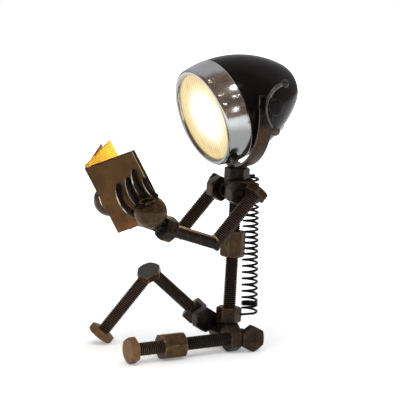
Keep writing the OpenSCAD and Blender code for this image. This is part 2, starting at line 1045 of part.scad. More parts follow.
module rim_screw() {
    color("#1c1917")
    in_head() {
        rim_screw_shaft();
        difference() {
            rotate([0, 0, -rim_screw_angle])
                translate([-rim_screw_width / 2, rim_radius(rim_screw_reach) - 3,
                           -rim_screw_reach - rim_screw_width / 2])
                    cube([rim_screw_width, rim_screw_width, rim_screw_width]);
            rotate_extrude($fn = 180)
                difference() {
                    intersection() {
                        translate([rim_outer - rim_curve, 0])
                            circle(r = rim_curve, $fn = 360);
                        translate([0, -rim_length])
                            square([rim_outer, rim_length]);
                    }
                    translate([0, -far / 2])
                        square([bead_mid, far]);
                }
        }
    }
}

module lens() {
    color("#fff0c0", 0.5)
    in_head()
        difference() {
            rotate_extrude($fn = 180) {
                intersection() {
                    translate([0, lens_centre])
                        circle(r = lens_curve, $fn = 360);
                    translate([0, lens_face - far])
                        square([lens_radius - 0.2, far + tiny]);
                }
                translate([0, lens_face])
                    square([lens_flange, lens_edge]);
            }
            intersection() {
                translate([0, 0, lens_centre])
                    sphere(r = lens_curve - lens_edge - flute_depth, $fn = 180);
                translate([0, 0, lens_face - lens_bulge])
                    cylinder(h = far, r = lens_radius - 1.5);
            }
            intersection() {
                translate([0, 0, lens_centre])
                    sphere(r = lens_curve - lens_edge, $fn = 180);
                translate([0, 0, lens_face - lens_bulge])
                    cylinder(h = far, r = lens_radius - 3);
                for (i = [-flute_count : flute_count])
                    translate([(i - 0.25) * flute_pitch, -far / 2, -far / 2])
                        cube([flute_pitch / 2, far, far]);
            }
        }
}

module ring(inner, outer, low, high) {
    translate([0, 0, low])
        difference() {
            cylinder(h = high - low, r = outer, $fn = 180);
            translate([0, 0, -1])
                cylinder(h = high - low + 2, r = inner, $fn = 180);
        }
}

module lens_gasket() {
    color("#1b1b1b")
    in_head()
        ring(lens_radius + 0.8, lens_flange, shoulder_at, lens_face);
}

module reflector() {
    color("#e8e4da")
    in_head()
        rotate_extrude($fn = 180) {
            difference() {
                translate([0, bowl_centre])
                    circle(r = bowl_radius + bowl_wall, $fn = 180);
                translate([0, bowl_centre])
                    circle(r = bowl_radius, $fn = 180);
                translate([-far, -far / 2])
                    square([far + neck_r, far]);
                translate([-far, lens_back + ring_t - 2 * far])
                    square([3 * far, 2 * far]);
            }
            translate([bowl_rim - 0.5, lens_back])
                square([lens_flange - bowl_rim + 0.5, ring_t]);
            translate([neck_r, neck_at - 0.5])
                square([ring_t, 9]);
        }
}

module retaining_ring() {
    color("#8d9093")
    in_head()
        ring(bowl_rim + 2.5, rim_radius(lens_back + ring_t) - rim_wall - 0.1,
             lens_back + ring_t, lens_back + ring_t + 1.5);
}

module lamp_holder() {
    color("#2a2a2c")
    in_head()
        translate([0, 0, holder_at])
            difference() {
                cylinder(h = holder_length, r = neck_r);
                translate([0, 0, -1])
                    cylinder(h = cap_length + 3, r = cap_r);
            }
}

module bulb_cap() {
    color("#b8964a")
    in_head()
        translate([0, 0, holder_at + 0.5])
            difference() {
                cylinder(h = cap_length, r = cap_r - tiny);
                translate([0, 0, -1])
                    cylinder(h = cap_length / 2, r = cap_r - 1);
            }
}

module bulb_glass() {
    color("#fff6d8", 0.6)
    in_head() {
        translate([0, 0, bulb_at])
            sphere(r = bulb_radius);
        translate([0, 0, bulb_at])
            cylinder(h = holder_at + 6 - bulb_at, r = cap_r - 1);
    }
}

module cable_grommet() {
    color("#161616")
    in_head()
        grommet_axis()
            difference() {
                union() {
                    translate([0, 0, -8])
                        cylinder(h = 12, r = cable_hole / 2 + 2);
                    difference() {
                        cylinder(h = 4, r = cable_hole / 2 + 4.5);
                        translate([0, 0, -side_radius])
                            sphere(r = side_radius + 0.15, $fn = 360);
                    }
                }
                translate([0, 0, -20])
                    cylinder(h = 40, r = cable_hole / 2);
            }
}

// Bosses and pivot hardware, drawn outwards from the middle of the lamp

module pivot_axis(side) {
    translate(pivot)
        rotate([0, side == "left" ? 90 : -90, 0])
            children();
}

module boss(side, bore_r) {
    color("#141211")
    difference() {
        pivot_axis(side)
            ring(bore_r, boss_diameter / 2, shell_radius - boss_sink, boss_face);
        in_head()
            rotate_extrude($fn = 180)
                shell_plan(0);
    }
}

module left_boss() {
    boss("left", stud_r + turning_gap);
}

module right_boss() {
    boss("right", stud_r);
}

module pivot_bolt() {
    color("#2a221c")
    pivot_axis("right") {
        translate([0, 0, shell_radius - 0.5])
            cylinder(h = hub_x + 1 - shell_radius, r = stud_r);
        translate([0, 0, hub_x])
            cylinder(h = 5.5, r = 7.5, $fn = 6);
    }
}

module pivot_washer() {
    color("#3a2f26")
    pivot_axis("right")
        ring(stud_r, 9, bolt_washer_x, hub_x);
}

module clamp_washer() {
    color("#3a2f26")
    pivot_axis("left")
        ring(stud_r, 10, bolt_washer_x, hub_x);
}

module clamp_stud() {
    color("#241c17")
    pivot_axis("left")
        translate([0, 0, shell_radius - 0.5])
            cylinder(h = lever_face - disc_thickness - shell_radius, r = stud_r);
}

// Arm of the lever as arcs in the plane of the page: x to the rear, y up
module lever_arc(radius, from, sweep) {
    translate([radius - disc_diameter / 2 - 0.8, 0])
        rotate([0, 0, from])
            rotate_extrude(angle = sweep)
                translate([radius, 0])
                    circle(d = arm_diameter, $fn = 48);
}

function arc_end(radius, angle) = [
    radius - disc_diameter / 2 - 0.8 + radius * cos(angle), radius * sin(angle), 0];

module clamp_lever() {
    color("#1a1512")
    difference() {
        union() {
            pivot_axis("left") {
                translate([0, 0, hub_x])
                    cylinder(h = lever_face - hub_x - tiny, r = hub_diameter / 2);
                translate([0, 0, lever_face - disc_thickness])
                    cylinder(h = disc_thickness, r = disc_diameter / 2);
            }
            translate([lever_face - disc_thickness / 2, pivot[1], pivot[2]])
                rotate([90, 0, 90]) {
                    lever_arc(upper_curve, 180 - upper_sweep, upper_sweep);
                    lever_arc(lower_curve, 180, lower_sweep);
                    translate(arc_end(upper_curve, 180 - upper_sweep))
                        sphere(d = ball_diameter);
                    translate(arc_end(lower_curve, 180 + lower_sweep))
                        sphere(d = lower_ball_diameter);
                }
        }
        pivot_axis("left")
            translate([0, 0, hub_x - 1])
                cylinder(h = 1 + hub_length + turning_gap, r = stud_r + turning_gap);
    }
}

// Every piece is drawn about the middle of the pelvis and moved from there, so that
// the origin is on the table top in the middle of the footprint

module in_place() {
    translate([middle_x, middle_y, 0])
        children();
}

in_place() near_leg_bolt();
in_place() near_knee_nut();
in_place() near_hip_nut();
in_place() near_seat_bolt();
in_place() far_seat_bolt();
in_place() far_thigh_bolt();
in_place() far_thigh_nut();
in_place() far_shin_bolt();
in_place() far_knee_head();
in_place() far_hip_hex();
in_place() pelvis_nut();
in_place() hip_nut();
in_place() spine_rod();
in_place() chest_nut();
in_place() collar_nut();
in_place() neck_nut();
in_place() shoulder_nut("left");  // left_shoulder_nut
in_place() shoulder_nut("right");  // right_shoulder_nut
in_place() arm_bolt("left");  // left_arm_bolt
in_place() arm_bolt("right");  // right_arm_bolt
in_place() forearm("left");  // left_forearm
in_place() forearm("right");  // right_forearm
in_place() wrist_nut("left");  // left_wrist_nut
in_place() wrist_nut("right");  // right_wrist_nut
in_place() palm_cup("left");  // left_palm
in_place() palm_cup("right");  // right_palm
in_place() fingers("left");  // left_fingers
in_place() fingers("right");  // right_fingers
in_place() torso_welds();
in_place() hip_welds();
in_place() elbow_weld("left");  // left_elbow_weld
in_place() elbow_weld("right");  // right_elbow_weld
in_place() book_cover();
in_place() book_page();
in_place() book_lining();
in_place() spring();
in_place() yoke();
in_place() shell();
in_place() rim();
in_place() rim_screw();
in_place() lens();
in_place() lens_gasket();
in_place() reflector();
in_place() retaining_ring();
in_place() lamp_holder();
in_place() bulb_cap();
in_place() bulb_glass();
in_place() cable_grommet();
in_place() left_boss();
in_place() right_boss();
in_place() pivot_bolt();
in_place() pivot_washer();
in_place() clamp_washer();
in_place() clamp_stud();
in_place() clamp_lever();
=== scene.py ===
# %% [markdown]
# # A reading figure made of bolts, lit by its own headlamp
# The lamp is a little seated figure welded together from threaded rod, nuts and bolts.
# Its head is a headlamp on a U-shaped yoke, and it shines on the metal book in its hands.
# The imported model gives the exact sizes. This script dresses it: rolled threads, softened
# hexagons, weld beads, chrome, enamel and glass, each worked out as a surface with numpy.

# %% Load the fixed frame
from math import acos, asin, atan2, ceil, cos, degrees, pi, radians, sin, tan
import bpy
import bmesh
import numpy as np
from mathutils import Matrix


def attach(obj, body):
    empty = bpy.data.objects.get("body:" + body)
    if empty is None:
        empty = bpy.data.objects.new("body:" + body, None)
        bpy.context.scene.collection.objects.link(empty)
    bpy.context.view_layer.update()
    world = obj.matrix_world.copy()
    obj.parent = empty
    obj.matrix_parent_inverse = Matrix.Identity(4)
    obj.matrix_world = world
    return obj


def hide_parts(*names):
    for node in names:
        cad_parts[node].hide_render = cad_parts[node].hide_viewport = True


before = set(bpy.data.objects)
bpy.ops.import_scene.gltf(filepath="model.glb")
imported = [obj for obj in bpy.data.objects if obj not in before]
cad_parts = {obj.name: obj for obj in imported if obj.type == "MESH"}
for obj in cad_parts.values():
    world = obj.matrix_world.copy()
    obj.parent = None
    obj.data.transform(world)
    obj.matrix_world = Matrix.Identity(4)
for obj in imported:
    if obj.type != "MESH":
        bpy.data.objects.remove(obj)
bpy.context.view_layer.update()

MM = 0.001

# %% [markdown]
# ## Placements and grids
# A placement is a 4 x 4 array whose columns are three axes and an origin. A surface is a
# grid of points, rows by columns, and its faces are the grid's cells. All sizes are in
# millimetres counted from the pelvis; ORIGIN moves them to the frame's origin. New surfaces
# stay SKIN inside the solids, so nothing grows.

# %% Small geometry helpers
ORIGIN, SKIN = np.array([9.9, 51.3, 0.0]), 0.02
X, Y, Z = np.eye(3)
scene = bpy.context.scene


def unit(v):
    v = np.asarray(v, float)
    return v / np.linalg.norm(v)


def columns(x, y, z, origin=(0, 0, 0)):
    """Placement with these three axes and this origin."""
    at = np.eye(4)
    at[:3] = np.stack([x, y, z, origin], -1)
    return at


def shift(x, y=0.0, z=0.0):
    return columns(X, Y, Z, [x, y, z])


def put(P, at):
    """Moves points by a placement."""
    return P @ at[:3, :3].T + at[:3, 3]


def placed(grids, at):
    return [(put(P, at), *rest) for P, *rest in grids]


def turn_z(angle):
    c, s = cos(radians(angle)), sin(radians(angle))
    return columns([c, s, 0], [-s, c, 0], [0, 0, 1])


def along(p, v, turn=0.0):
    """Placement at p whose +Z runs along v: tilt about Y, swing about Z, then spin."""
    x, y, z = unit(v)
    t, a = acos(np.clip(z, -1, 1)), atan2(y, x)
    return columns([cos(t) * cos(a), cos(t) * sin(a), -sin(t)], [-sin(a), cos(a), 0],
                   [x, y, z], p) @ turn_z(turn)


def turn_towards(v, w):
    """Spin that brings a piece drawn along v round so that its angle 0 faces w."""
    at = along([0, 0, 0], v)
    return degrees(atan2(np.dot(w, at[:3, 1]), np.dot(w, at[:3, 0])))


def circle(cols):
    return np.linspace(0, 2 * pi, cols, endpoint=False)


def polar(r, angle, z):
    """Points at radius r, an angle and height z."""
    return np.stack(np.broadcast_arrays(r * np.cos(angle), r * np.sin(angle), z), -1)


def quads(rows, cols, wrap):
    """Corner indices of the cells of a grid, closed round the columns if wrap is set."""
    i, j = np.meshgrid(np.arange(rows - 1), np.arange(cols if wrap else cols - 1), indexing="ij")
    n = (j + 1) % cols
    return np.stack([i * cols + j, i * cols + n, (i + 1) * cols + n, (i + 1) * cols + j],
                    -1).reshape(-1, 4)


def lathe(profile, cols=96, wear=0.0):
    """Turns a profile of (radius, height) pairs about z."""
    r, z = np.array(profile, float).T
    P = polar(r[:, None], circle(cols), z[:, None])
    return P, np.broadcast_to(np.reshape(wear, (-1, 1)), P.shape[:2]), True


def arc(centre, radius, start, end, rows):
    """Pairs (centre + radius cos a, centre + radius sin a) for angles a from start to end."""
    a = np.linspace(start, end, rows)
    return np.stack([centre[0] + radius * np.cos(a), centre[1] + radius * np.sin(a)], -1)


def around(u, v, cols):
    """Unit circles u cos a + v sin a, one for each row of u."""
    a = circle(cols)[:, None]
    return u[..., None, :] * np.cos(a) + v[..., None, :] * np.sin(a)


def sweep(path, u, v, radius, cols):
    """A circle round each point of a path, in the plane that u and v span there."""
    return path[:, None] + around(u, v, cols) * np.broadcast_to(radius, len(path))[:, None, None]


def capped(P):
    """The grid, closed at both ends by a row of points gathered in the middle."""
    ends = np.broadcast_to(P[[0, -1]].mean(1, keepdims=True), (2, *P.shape[1:]))
    return np.concatenate([ends[:1], P, ends[1:]])


def lumps(P, size, seed=0.0):
    """Smooth unevenness, about -1 to 1: sines of three crossing directions multiplied."""
    q = P / size
    return (np.sin(q[..., 0] * 2.1 + 1.3 * np.sin(q[..., 1] * 1.7 + seed) + seed)
            * np.sin(q[..., 1] * 1.9 + 1.1 * np.sin(q[..., 2] * 2.3 + seed * 2))
            + np.sin(q[..., 2] * 2.2 + 1.2 * np.sin(q[..., 0] * 1.6 + seed * 3))) * 0.5


def share(x, width):
    """0 where x is below 0, 1 from width up, straight between."""
    return np.clip(x / width, 0, 1)


def add(name, data, at=None):
    """Puts an object in the scene: at the origin, or placed in metres."""
    made = bpy.data.objects.new(name, data)
    if at is not None:
        made.matrix_world = Matrix(at.tolist())
    scene.collection.objects.link(made)
    return made


print("a 3 x 4 grid has", len(quads(3, 4, True)), "cells when it closes")

# %% [markdown]
# ## Camera
# A long lens two and a half metres away flattens the figure as a shop picture does.
# `view` points from the target to the camera, `right` to the right edge of the picture.

# %% Camera
azimuth, elevation = radians(61.1), radians(8.7)
view = np.array([sin(azimuth) * cos(elevation), -cos(azimuth) * cos(elevation), sin(elevation)])
right = np.array([cos(azimuth), sin(azimuth), 0.0])
TARGET, DISTANCE = (np.array([0.0, -42.4, 189.0]) + ORIGIN) * MM, 2.5
stand = TARGET + DISTANCE * view

lens = bpy.data.cameras.new("camera")
lens.sensor_width, lens.lens = 36.0, 36.0 * 1991.4 / 400
lens.shift_x, lens.shift_y = 2.1 / 400, 3.2 / 400
lens.clip_start, lens.clip_end = 0.1, 30
scene.camera = add("camera", lens, columns(right, np.cross(view, right), view, stand))
scene.view_settings.view_transform = "Standard"
print("camera at", np.round(stand, 3), "lens", round(lens.lens, 1), "mm")

# %% [markdown]
# ## Writing shader maths as sums
# A node tree is easier to read as an expression. `Wire` wraps one socket, and adding or
# multiplying two wires adds the Math node that does it. Everything that isn't plain maths
# comes from one method, `Finish.node`, which takes a node type, its settings and its inputs.

# %% A socket that can be added, multiplied and compared
class Wire:
    def __init__(self, finish, socket):
        self.finish, self.socket = finish, socket

    def _math(self, operation, *values):
        return self.finish.node("ShaderNodeMath", {"operation": operation},
                                dict(enumerate(values)))

    def __add__(self, other): return self._math("ADD", self, other)
    def __radd__(self, other): return self._math("ADD", other, self)
    def __sub__(self, other): return self._math("SUBTRACT", self, other)
    def __rsub__(self, other): return self._math("SUBTRACT", other, self)
    def __mul__(self, other): return self._math("MULTIPLY", self, other)
    def sin(self): return self._math("SINE", self)
    def abs(self): return self._math("ABSOLUTE", self)
    def most(self, other): return self._math("MAXIMUM", self, other)
    def least(self, other): return self._math("MINIMUM", self, other)

    def smooth(self, low, high):
        """0 below low, 1 above high, an S-curve between."""
        return self.finish.node("ShaderNodeMapRange", {"interpolation_type": "SMOOTHSTEP"},
                                {"Value": self, "From Min": low, "From Max": high})


class Finish:
    """One material. Its plain numbers sit on the shader's sockets; only wires are linked."""
    def __init__(self, name, gloss=0.5, **constants):
        self.name, self.material = name, bpy.data.materials.new(name)
        self.material.use_nodes = True
        self.tree = self.material.node_tree
        self.shader = self.tree.nodes["Principled BSDF"]
        self.set("Specular IOR Level", gloss)
        for key, value in constants.items():
            self.set(key.replace("_", " "), value)

    def set(self, socket, value):
        if isinstance(value, Wire):
            self.tree.links.new(value.socket, self.shader.inputs[socket])
        else:
            self.shader.inputs[socket].default_value = value

    def node(self, kind, settings=None, inputs=None, out=0):
        made = self.tree.nodes.new(kind)
        for key, value in (settings or {}).items():
            if key == "stops":
                ramp = made.color_ramp
                while len(ramp.elements) < len(value):
                    ramp.elements.new(0.5)
                for element, (place, colour) in zip(ramp.elements, value):
                    element.position, element.color = place, (*colour, 1.0)
            else:
                setattr(made, key, value)
        for key, value in (inputs or {}).items():
            socket = made.inputs[key]
            if isinstance(value, Wire):
                self.tree.links.new(value.socket, socket)
            elif hasattr(socket.default_value, "__len__") and len(socket.default_value) == 4:
                socket.default_value = (*value, 1.0)[:4]
            else:
                socket.default_value = value
        return Wire(self, made.outputs[out])

    def place(self, scale=(1, 1, 1), turn=(0, 0, 0)):
        where = self.node("ShaderNodeTexCoord", out="Object")
        return self.node("ShaderNodeMapping", None,
                         {"Vector": where, "Rotation": turn, "Scale": scale})

    def axis(self, index, place=None):
        """One of the three coordinates, in metres."""
        return self.node("ShaderNodeSeparateXYZ", None, {0: place or self.place()}, out=index)

    def noise(self, size, detail=4.0, rough=0.55, place=None):
        """Cloudy noise, 0 to 1, whose blobs are about `size` metres across."""
        return self.node("ShaderNodeTexNoise", None,
                         {"Vector": place or self.place(), "Scale": 1 / size,
                          "Detail": detail, "Roughness": rough})

    def pits(self, size):
        """Distance to scattered points: 0 at a point, so small values are round pits."""
        return self.node("ShaderNodeTexVoronoi", None, {"Vector": self.place(), "Scale": 1 / size})

    def mark(self, name):
        """A number stored on the mesh, such as how worn each point is."""
        return self.node("ShaderNodeAttribute", {"attribute_name": name}, out="Fac")

    def mix(self, amount, first, second):
        return self.node("ShaderNodeMix", {"data_type": "RGBA"},
                         {0: amount, 6: first, 7: second}, out=2)

    def ramp(self, value, *stops):
        return self.node("ShaderNodeValToRGB", {"stops": stops}, {0: value})

    def paint(self, colour, *coats):
        """Lays each coat, an amount and a colour, over what is there already."""
        for amount, over in coats:
            colour = self.mix(amount, colour, over)
        self.colour = colour
        self.set("Base Color", colour)

    def bump(self, height, depth):
        self.set("Normal", self.node("ShaderNodeBump", None,
                                     {"Height": height, "Distance": depth}))


print("shader helpers ready")

# %% [markdown]
# ## Stage
# Dark steel only looks right in a room that is mostly dark. The studio has a white floor,
# soft lights, and a dome that only reflections see: pale on the side behind the object,
# brown on the near side. A few tiny lamps draw the sparks on edges and chrome.

# %% White background for the camera, soft grey light for the object
world = bpy.data.worlds.new("studio")
world.use_nodes = True
scene.world = world


def background_share(tree):
    """1 for what the camera, a mirror or glass sees directly, 0 for what lights the object."""
    path = tree.nodes.new("ShaderNodeLightPath")
    total = path.outputs["Is Camera Ray"]
    for kind in ("Is Glossy Ray", "Is Transmission Ray"):
        either = tree.nodes.new("ShaderNodeMath")
        either.operation = "MAXIMUM"
        tree.links.new(total, either.inputs[0])
        tree.links.new(path.outputs[kind], either.inputs[1])
        total = either.outputs[0]
    return total


level = world.node_tree.nodes.new("ShaderNodeMapRange")
world.node_tree.links.new(background_share(world.node_tree), level.inputs["Value"])
level.inputs["To Min"].default_value = 0.5
level.inputs["To Max"].default_value = 1.0
back = world.node_tree.nodes["Background"]
back.inputs["Color"].default_value = (1, 1, 1, 1)
world.node_tree.links.new(level.outputs[0], back.inputs["Strength"])


LIT = np.array([0, -40, 170])    # the place that every soft light faces


def soft_light(name, place, size, power, colour=(1, 1, 1), seen=True):
    """A rectangle of light at a place, turned towards the figure. Its size is in metres."""
    data = bpy.data.lights.new(name, "AREA")
    data.shape, data.size, data.size_y = "RECTANGLE", size[0], size[1]
    data.energy, data.color = power, colour
    away = unit(place - LIT)
    side = unit(np.cross(Z, away))
    lamp = add(name, data, columns(side, np.cross(away, side), away, (place + ORIGIN) * MM))
    lamp.visible_camera, lamp.visible_glossy = False, seen


soft_light("overhead", (250, -200, 1500), (1.0, 1.0), 9.0, seen=False)
soft_light("front_left", (1100, -1300, 900), (0.35, 0.5), 6.0, seen=False)
soft_light("rear_right", (-1000, 900, 800), (0.6, 0.9), 6.0, seen=False)
soft_light("left_high", (960, 290, 1620), (0.22, 0.22), 2.0, (0.82, 0.9, 1.0))
for number, place in enumerate([(1331, 274, 1254), (1138, -235, 1491), (1516, -101, 978),
                                (139, -277, 1926)]):
    soft_light("spark_%d" % number, place, (0.035, 0.035), 0.22)
soft_light("spark_bar", (1605, 317, 573), (0.05, 0.22), 0.3)

# %% Floor and dome
FAR = 2.9    # the dome's radius, in metres


def surface(name, points, faces, finish):
    """A mesh with its material. Points are in metres, faces are rows of four indices."""
    mesh = bpy.data.meshes.new(name)
    mesh.from_pydata(points.reshape(-1, 3).tolist(), [], faces.tolist())
    mesh.materials.append(finish.material)
    return mesh


pale = Finish("floor_white", 0.0, Roughness=0.9, Emission_Strength=1.0)
pale.set("Base Color", pale.mix(pale.noise(0.4) * 0.5, (0.87, 0.87, 0.868), (0.85, 0.85, 0.85)))
away2 = pale.axis(0) * pale.axis(0) + pale.axis(1) * pale.axis(1)
fill = Wire(pale, background_share(pale.tree)) * (0.24 + (away2 * 0.6).least(0.76))
pale.set("Emission Color", pale.mix(fill, (0, 0, 0), (1, 1, 1)))
floor = np.array([(-6, -6, 0), (6, -6, 0), (6, 6, 0), (-6, 6, 0)])
add("floor", surface("floor", floor, np.array([(0, 1, 2, 3)]), pale))

room = Finish("dome_brown", 0.0, Roughness=1.0, Emission_Strength=1.0)
room.set("Base Color", (0, 0, 0, 1))
behind = (room.axis(0) * float(-view[0]) + room.axis(1) * float(-view[1])) * (1 / FAR)
patchy = room.noise(0.9, detail=2)
brown = room.mix(patchy.smooth(0.4, 0.6), (0.20, 0.15, 0.12), (0.40, 0.28, 0.20))
wall = room.mix((room.axis(2) * (1 / FAR)).smooth(0.0, 0.45), (0.36, 0.31, 0.27),
                (0.66, 0.66, 0.67))
room.set("Emission Color", room.mix((behind + (patchy - 0.5) * 0.25).smooth(0.04, 0.22),
                                    brown, wall))
heights = np.radians([1.0, 12, 24, 36, 48, 60, 72, 82, 89.5])[:, None]
shell = FAR * polar(np.cos(heights), circle(48), np.sin(heights))
dome = add("brown_dome", surface("brown_dome", shell, quads(len(heights), 48, True), room))
dome.visible_camera = dome.visible_diffuse = False
dome.visible_shadow = dome.visible_transmission = False
print("stage ready")

# %% [markdown]
# ## Surfaces from arrays
# `piece` turns any number of grids into one mesh, welds their seams and poles, and points
# the faces outwards. Each point carries two marks: `wear`, high on edges that hands
# would rub and where glints and highlights are painted, and `tone`, how brown the steel is;
# tone is also raised where lamplight is painted, and on the lining it marks a painted shade.

# %% From grids to a piece
def piece(name, grids, node, finish, tone=0.0, slot=None, body="figure"):
    """grids: list of (points in mm [rows, cols, 3], wear and painted glint [rows, cols] or number,
    whether the columns close, optional ready-made faces). tone: a number or a function of the
    points; besides brownness it carries painted lamplight and painted shade."""
    points, faces, wear, start = [], [], [], 0
    for P, rub_and_glint, wrap, *cells in grids:
        rows, cols = P.shape[:2]
        points.append((P.reshape(-1, 3) + ORIGIN) * MM)
        wear.append(np.broadcast_to(rub_and_glint, (rows, cols)).ravel())
        faces.append((cells[0] if cells else quads(rows, cols, wrap)) + start)
        start += rows * cols
    points = np.concatenate(points)
    mesh = surface(name, points, np.concatenate(faces), finish)
    brown = tone(points / MM - ORIGIN) if callable(tone) else np.full(len(points), float(tone))
    for mark, values in (("wear", np.concatenate(wear)), ("tone", brown)):
        store = mesh.attributes.new(mark, "FLOAT", "POINT")
        store.data.foreach_set("value", values.astype(np.float32))
    shape = bmesh.new()
    shape.from_mesh(mesh)
    bmesh.ops.remove_doubles(shape, verts=shape.verts, dist=1e-6)
    bmesh.ops.dissolve_degenerate(shape, edges=shape.edges, dist=1e-6)
    bmesh.ops.recalc_face_normals(shape, faces=shape.faces)
    shape.to_mesh(mesh)
    shape.free()
    mesh.shade_smooth()
    made = add(name, mesh)
    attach(made, body)
    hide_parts(node)


def pairs(*rows):
    """The same pieces on the figure's left and, mirrored, on its right."""
    for side, mirror in (("left", 1), ("right", -1)):
        for name, grids, node, *rest in rows:
            piece(side + name, [(P * [mirror, 1, 1], *more) for P, *more in grids],
                  side + node, *rest)


def left_side(P):
    """The points, with those on the right mirrored to the left."""
    return np.concatenate([np.abs(P[..., :1]), P[..., 1:]], -1)


print("pieces can be made")

# %% [markdown]
# ## The figure's skeleton, in numbers
# These are the same named sizes that the solids are drawn from, in millimetres. Working
# every joint out again from them keeps each dressed piece exactly on the one it replaces.

# %% Named sizes
THIRTY = radians(30)
ROD, FLAT, HEAD, NUT, CUT, GROUND = 8.0, 14.3, 10.0, 15.5, 2.6, 0.5
LEG_FLAT = 15.0
CORNER, LEG_CORNER = FLAT / cos(THIRTY), LEG_FLAT / cos(THIRTY)
LEG_Z = LEG_CORNER - GROUND
HIP_BOTTOM, HIP_H = -7.0, 19.0
PELVIS_AT, PELVIS_L = HIP_BOTTOM - FLAT, 34.0
CHEST_AT, CHEST_L = 93.7, 33.0
COLLAR_AT, COLLAR_H, NECK_TOP = 164.25, 23.5, 191.5
LEG_X, FOOT_Y, KNEE_Y, KNEE_L, NUT_REAR = 25.3, -155.0, -94.0, 32.0, -0.5
PELVIS_LEFT = LEG_X - LEG_FLAT
SEAT_Y, SEAT_X = NUT_REAR + LEG_FLAT, LEG_X + ROD

lean = radians(3.7)
spine_foot, spine_up = np.array([0, 2.3, 40]), np.array([0, sin(lean), cos(lean)])


def spine(h, x=0.0, y=0.0, turn=0.0):
    """Placement in the leaning frame of the spine: h up it, x and y across it."""
    at = columns(X, [0, cos(lean), -sin(lean)], spine_up, spine_foot)
    return at @ shift(x, y, h) @ turn_z(turn)


def facing(y, z, origin, turn=0.0):
    """Placement from two main axes, as the solids are turned."""
    return columns(np.cross(y, z), y, z, origin) @ turn_z(turn)


splay, thigh_a, shin_a = radians(28.5), radians(42.8), radians(51.5)
plan = np.array([-sin(splay), -cos(splay), 0])
thigh_dir, shin_dir = plan * cos(thigh_a) + Z * sin(thigh_a), plan * cos(shin_a) - Z * sin(shin_a)
THIGH_L, THIGH_NUT = 76.0, 17.0
thigh_start = np.array([-41, -24.8, 42.3])
knee = thigh_start + thigh_dir * THIGH_L
sole_z = LEG_CORNER * cos(shin_a) - CUT * tan(THIRTY) * sin(shin_a) - GROUND
SHIN_L = (knee[2] - sole_z) / sin(shin_a)
sole = knee + shin_dir * SHIN_L
knee_lean, knee_turn = radians(31), radians(-54)
knee_head_dir = np.array([sin(knee_lean) * cos(knee_turn), sin(knee_lean) * sin(knee_turn),
                          cos(knee_lean)])
knee_head = knee + [-1.1, -2.4, -1.6]

SHOULDER_IN = 17.2
ARM_X = SHOULDER_IN + NUT + FLAT
arm_head, elbow = np.array([ARM_X, 15, 204.8]), np.array([ARM_X, -43.8, 145.5])
wrist, palm = np.array([52, -114.3, 170.2]), np.array([55.6, -138.4, 192.6])
arm_dir, fore_dir = unit(elbow - arm_head), unit(wrist - elbow)
mitre = unit(arm_dir + fore_dir)
palm_up = np.array([0, -sin(radians(15.5)), cos(radians(15.5))])

yoke_foot = spine_foot + NECK_TOP * spine_up + Z * (FLAT * tan(lean) + 0.05)
pivot = yoke_foot + Z * 83
print("knee", np.round(knee, 1), "sole", np.round(sole, 1), "pivot", np.round(pivot, 2))

# %% [markdown]
# ## Finishes of the figure
# Welded steel that is only waxed goes nearly black where oil burnt in, olive brown where it
# didn't, and tan where it rusted and was rubbed. One scale of colour holds all of these;
# each point's `tone` says how far along it is, and clouds of noise push it up and down.
# The same scale also paints light: `tone` is raised where a highlight of lamplight is painted,
# and the worn colour is laid on painted glints as well as on wear.

# %% Oxidised steel
BURNT = [(0.0, (0.0060, 0.0052, 0.0048)), (0.2, (0.0150, 0.0110, 0.0085)),
         (0.45, (0.052, 0.031, 0.0165)), (0.7, (0.105, 0.057, 0.026)),
         (1.0, (0.235, 0.122, 0.052))]
OLIVE = [(0.0, (0.017, 0.009, 0.011)), (0.3, (0.034, 0.022, 0.013)),
         (0.6, (0.085, 0.066, 0.028)), (1.0, (0.20, 0.15, 0.065))]
RUBBED_AND_LIT = [(0.0, (0.030, 0.026, 0.022)), (0.2, (0.060, 0.048, 0.038)),
          (0.45, (0.15, 0.105, 0.066)), (0.7, (0.30, 0.20, 0.12)), (1.0, (0.50, 0.36, 0.22))]
RUST = (0.21, 0.085, 0.024)


def old_steel(name, rough=0.42, tone=0.0, swing=0.8, grain=0.35, wear_glint_share=0.7, rust=0.6,
              bare_and_glint=None, broken=1.2, gloss=0.18):
    """swing: how far the clouds push the tone. bare_and_glint: colour of worn metal and of
    painted glints. broken: how patchy the wear and the glints are; from 1 up they have hard
    borders."""
    made = Finish(name, gloss)
    broad, fine = made.noise(0.013, 5, 0.62), made.noise(0.0032, 6, 0.65)
    level = made.mark("tone") + tone + (broad - 0.5) * swing + (fine - 0.5) * 0.35
    bloom = (made.noise(0.010, 6, 0.7) * 0.7 + fine * 0.3).smooth(0.54, 0.68)
    bloom = bloom * level.smooth(0.2, 0.7) * rust
    worn_and_glint = made.mark("wear") * (0.8 - broken / 2 + fine * broken)
    worn_and_glint = (worn_and_glint if broken < 1 else worn_and_glint.smooth(0.3, 0.9)) * wear_glint_share
    # The last coat is worn metal together with painted glints and highlights, where the wear mark
    # is high.
    made.paint(made.ramp(level, *BURNT),
               (made.noise(0.011).smooth(0.54, 0.66) * 0.65, made.ramp(level, *OLIVE)),
               (made.noise(0.0042, 4, 0.7).smooth(0.55, 0.62) * 0.5,
                made.ramp(level - 0.38, *BURNT)),
               (bloom, RUST), (worn_and_glint, bare_and_glint or made.ramp(level, *RUBBED_AND_LIT)))
    made.set("Roughness", rough + (fine - 0.5) * 0.3 + bloom * 0.2 - worn_and_glint * 0.14)
    made.set("Metallic", 0.6 - bloom * 0.3)
    made.bump(fine * 0.6 + made.pits(0.0022).smooth(0.0, 0.45) * grain + broad * 0.8, 0.0003)
    return made


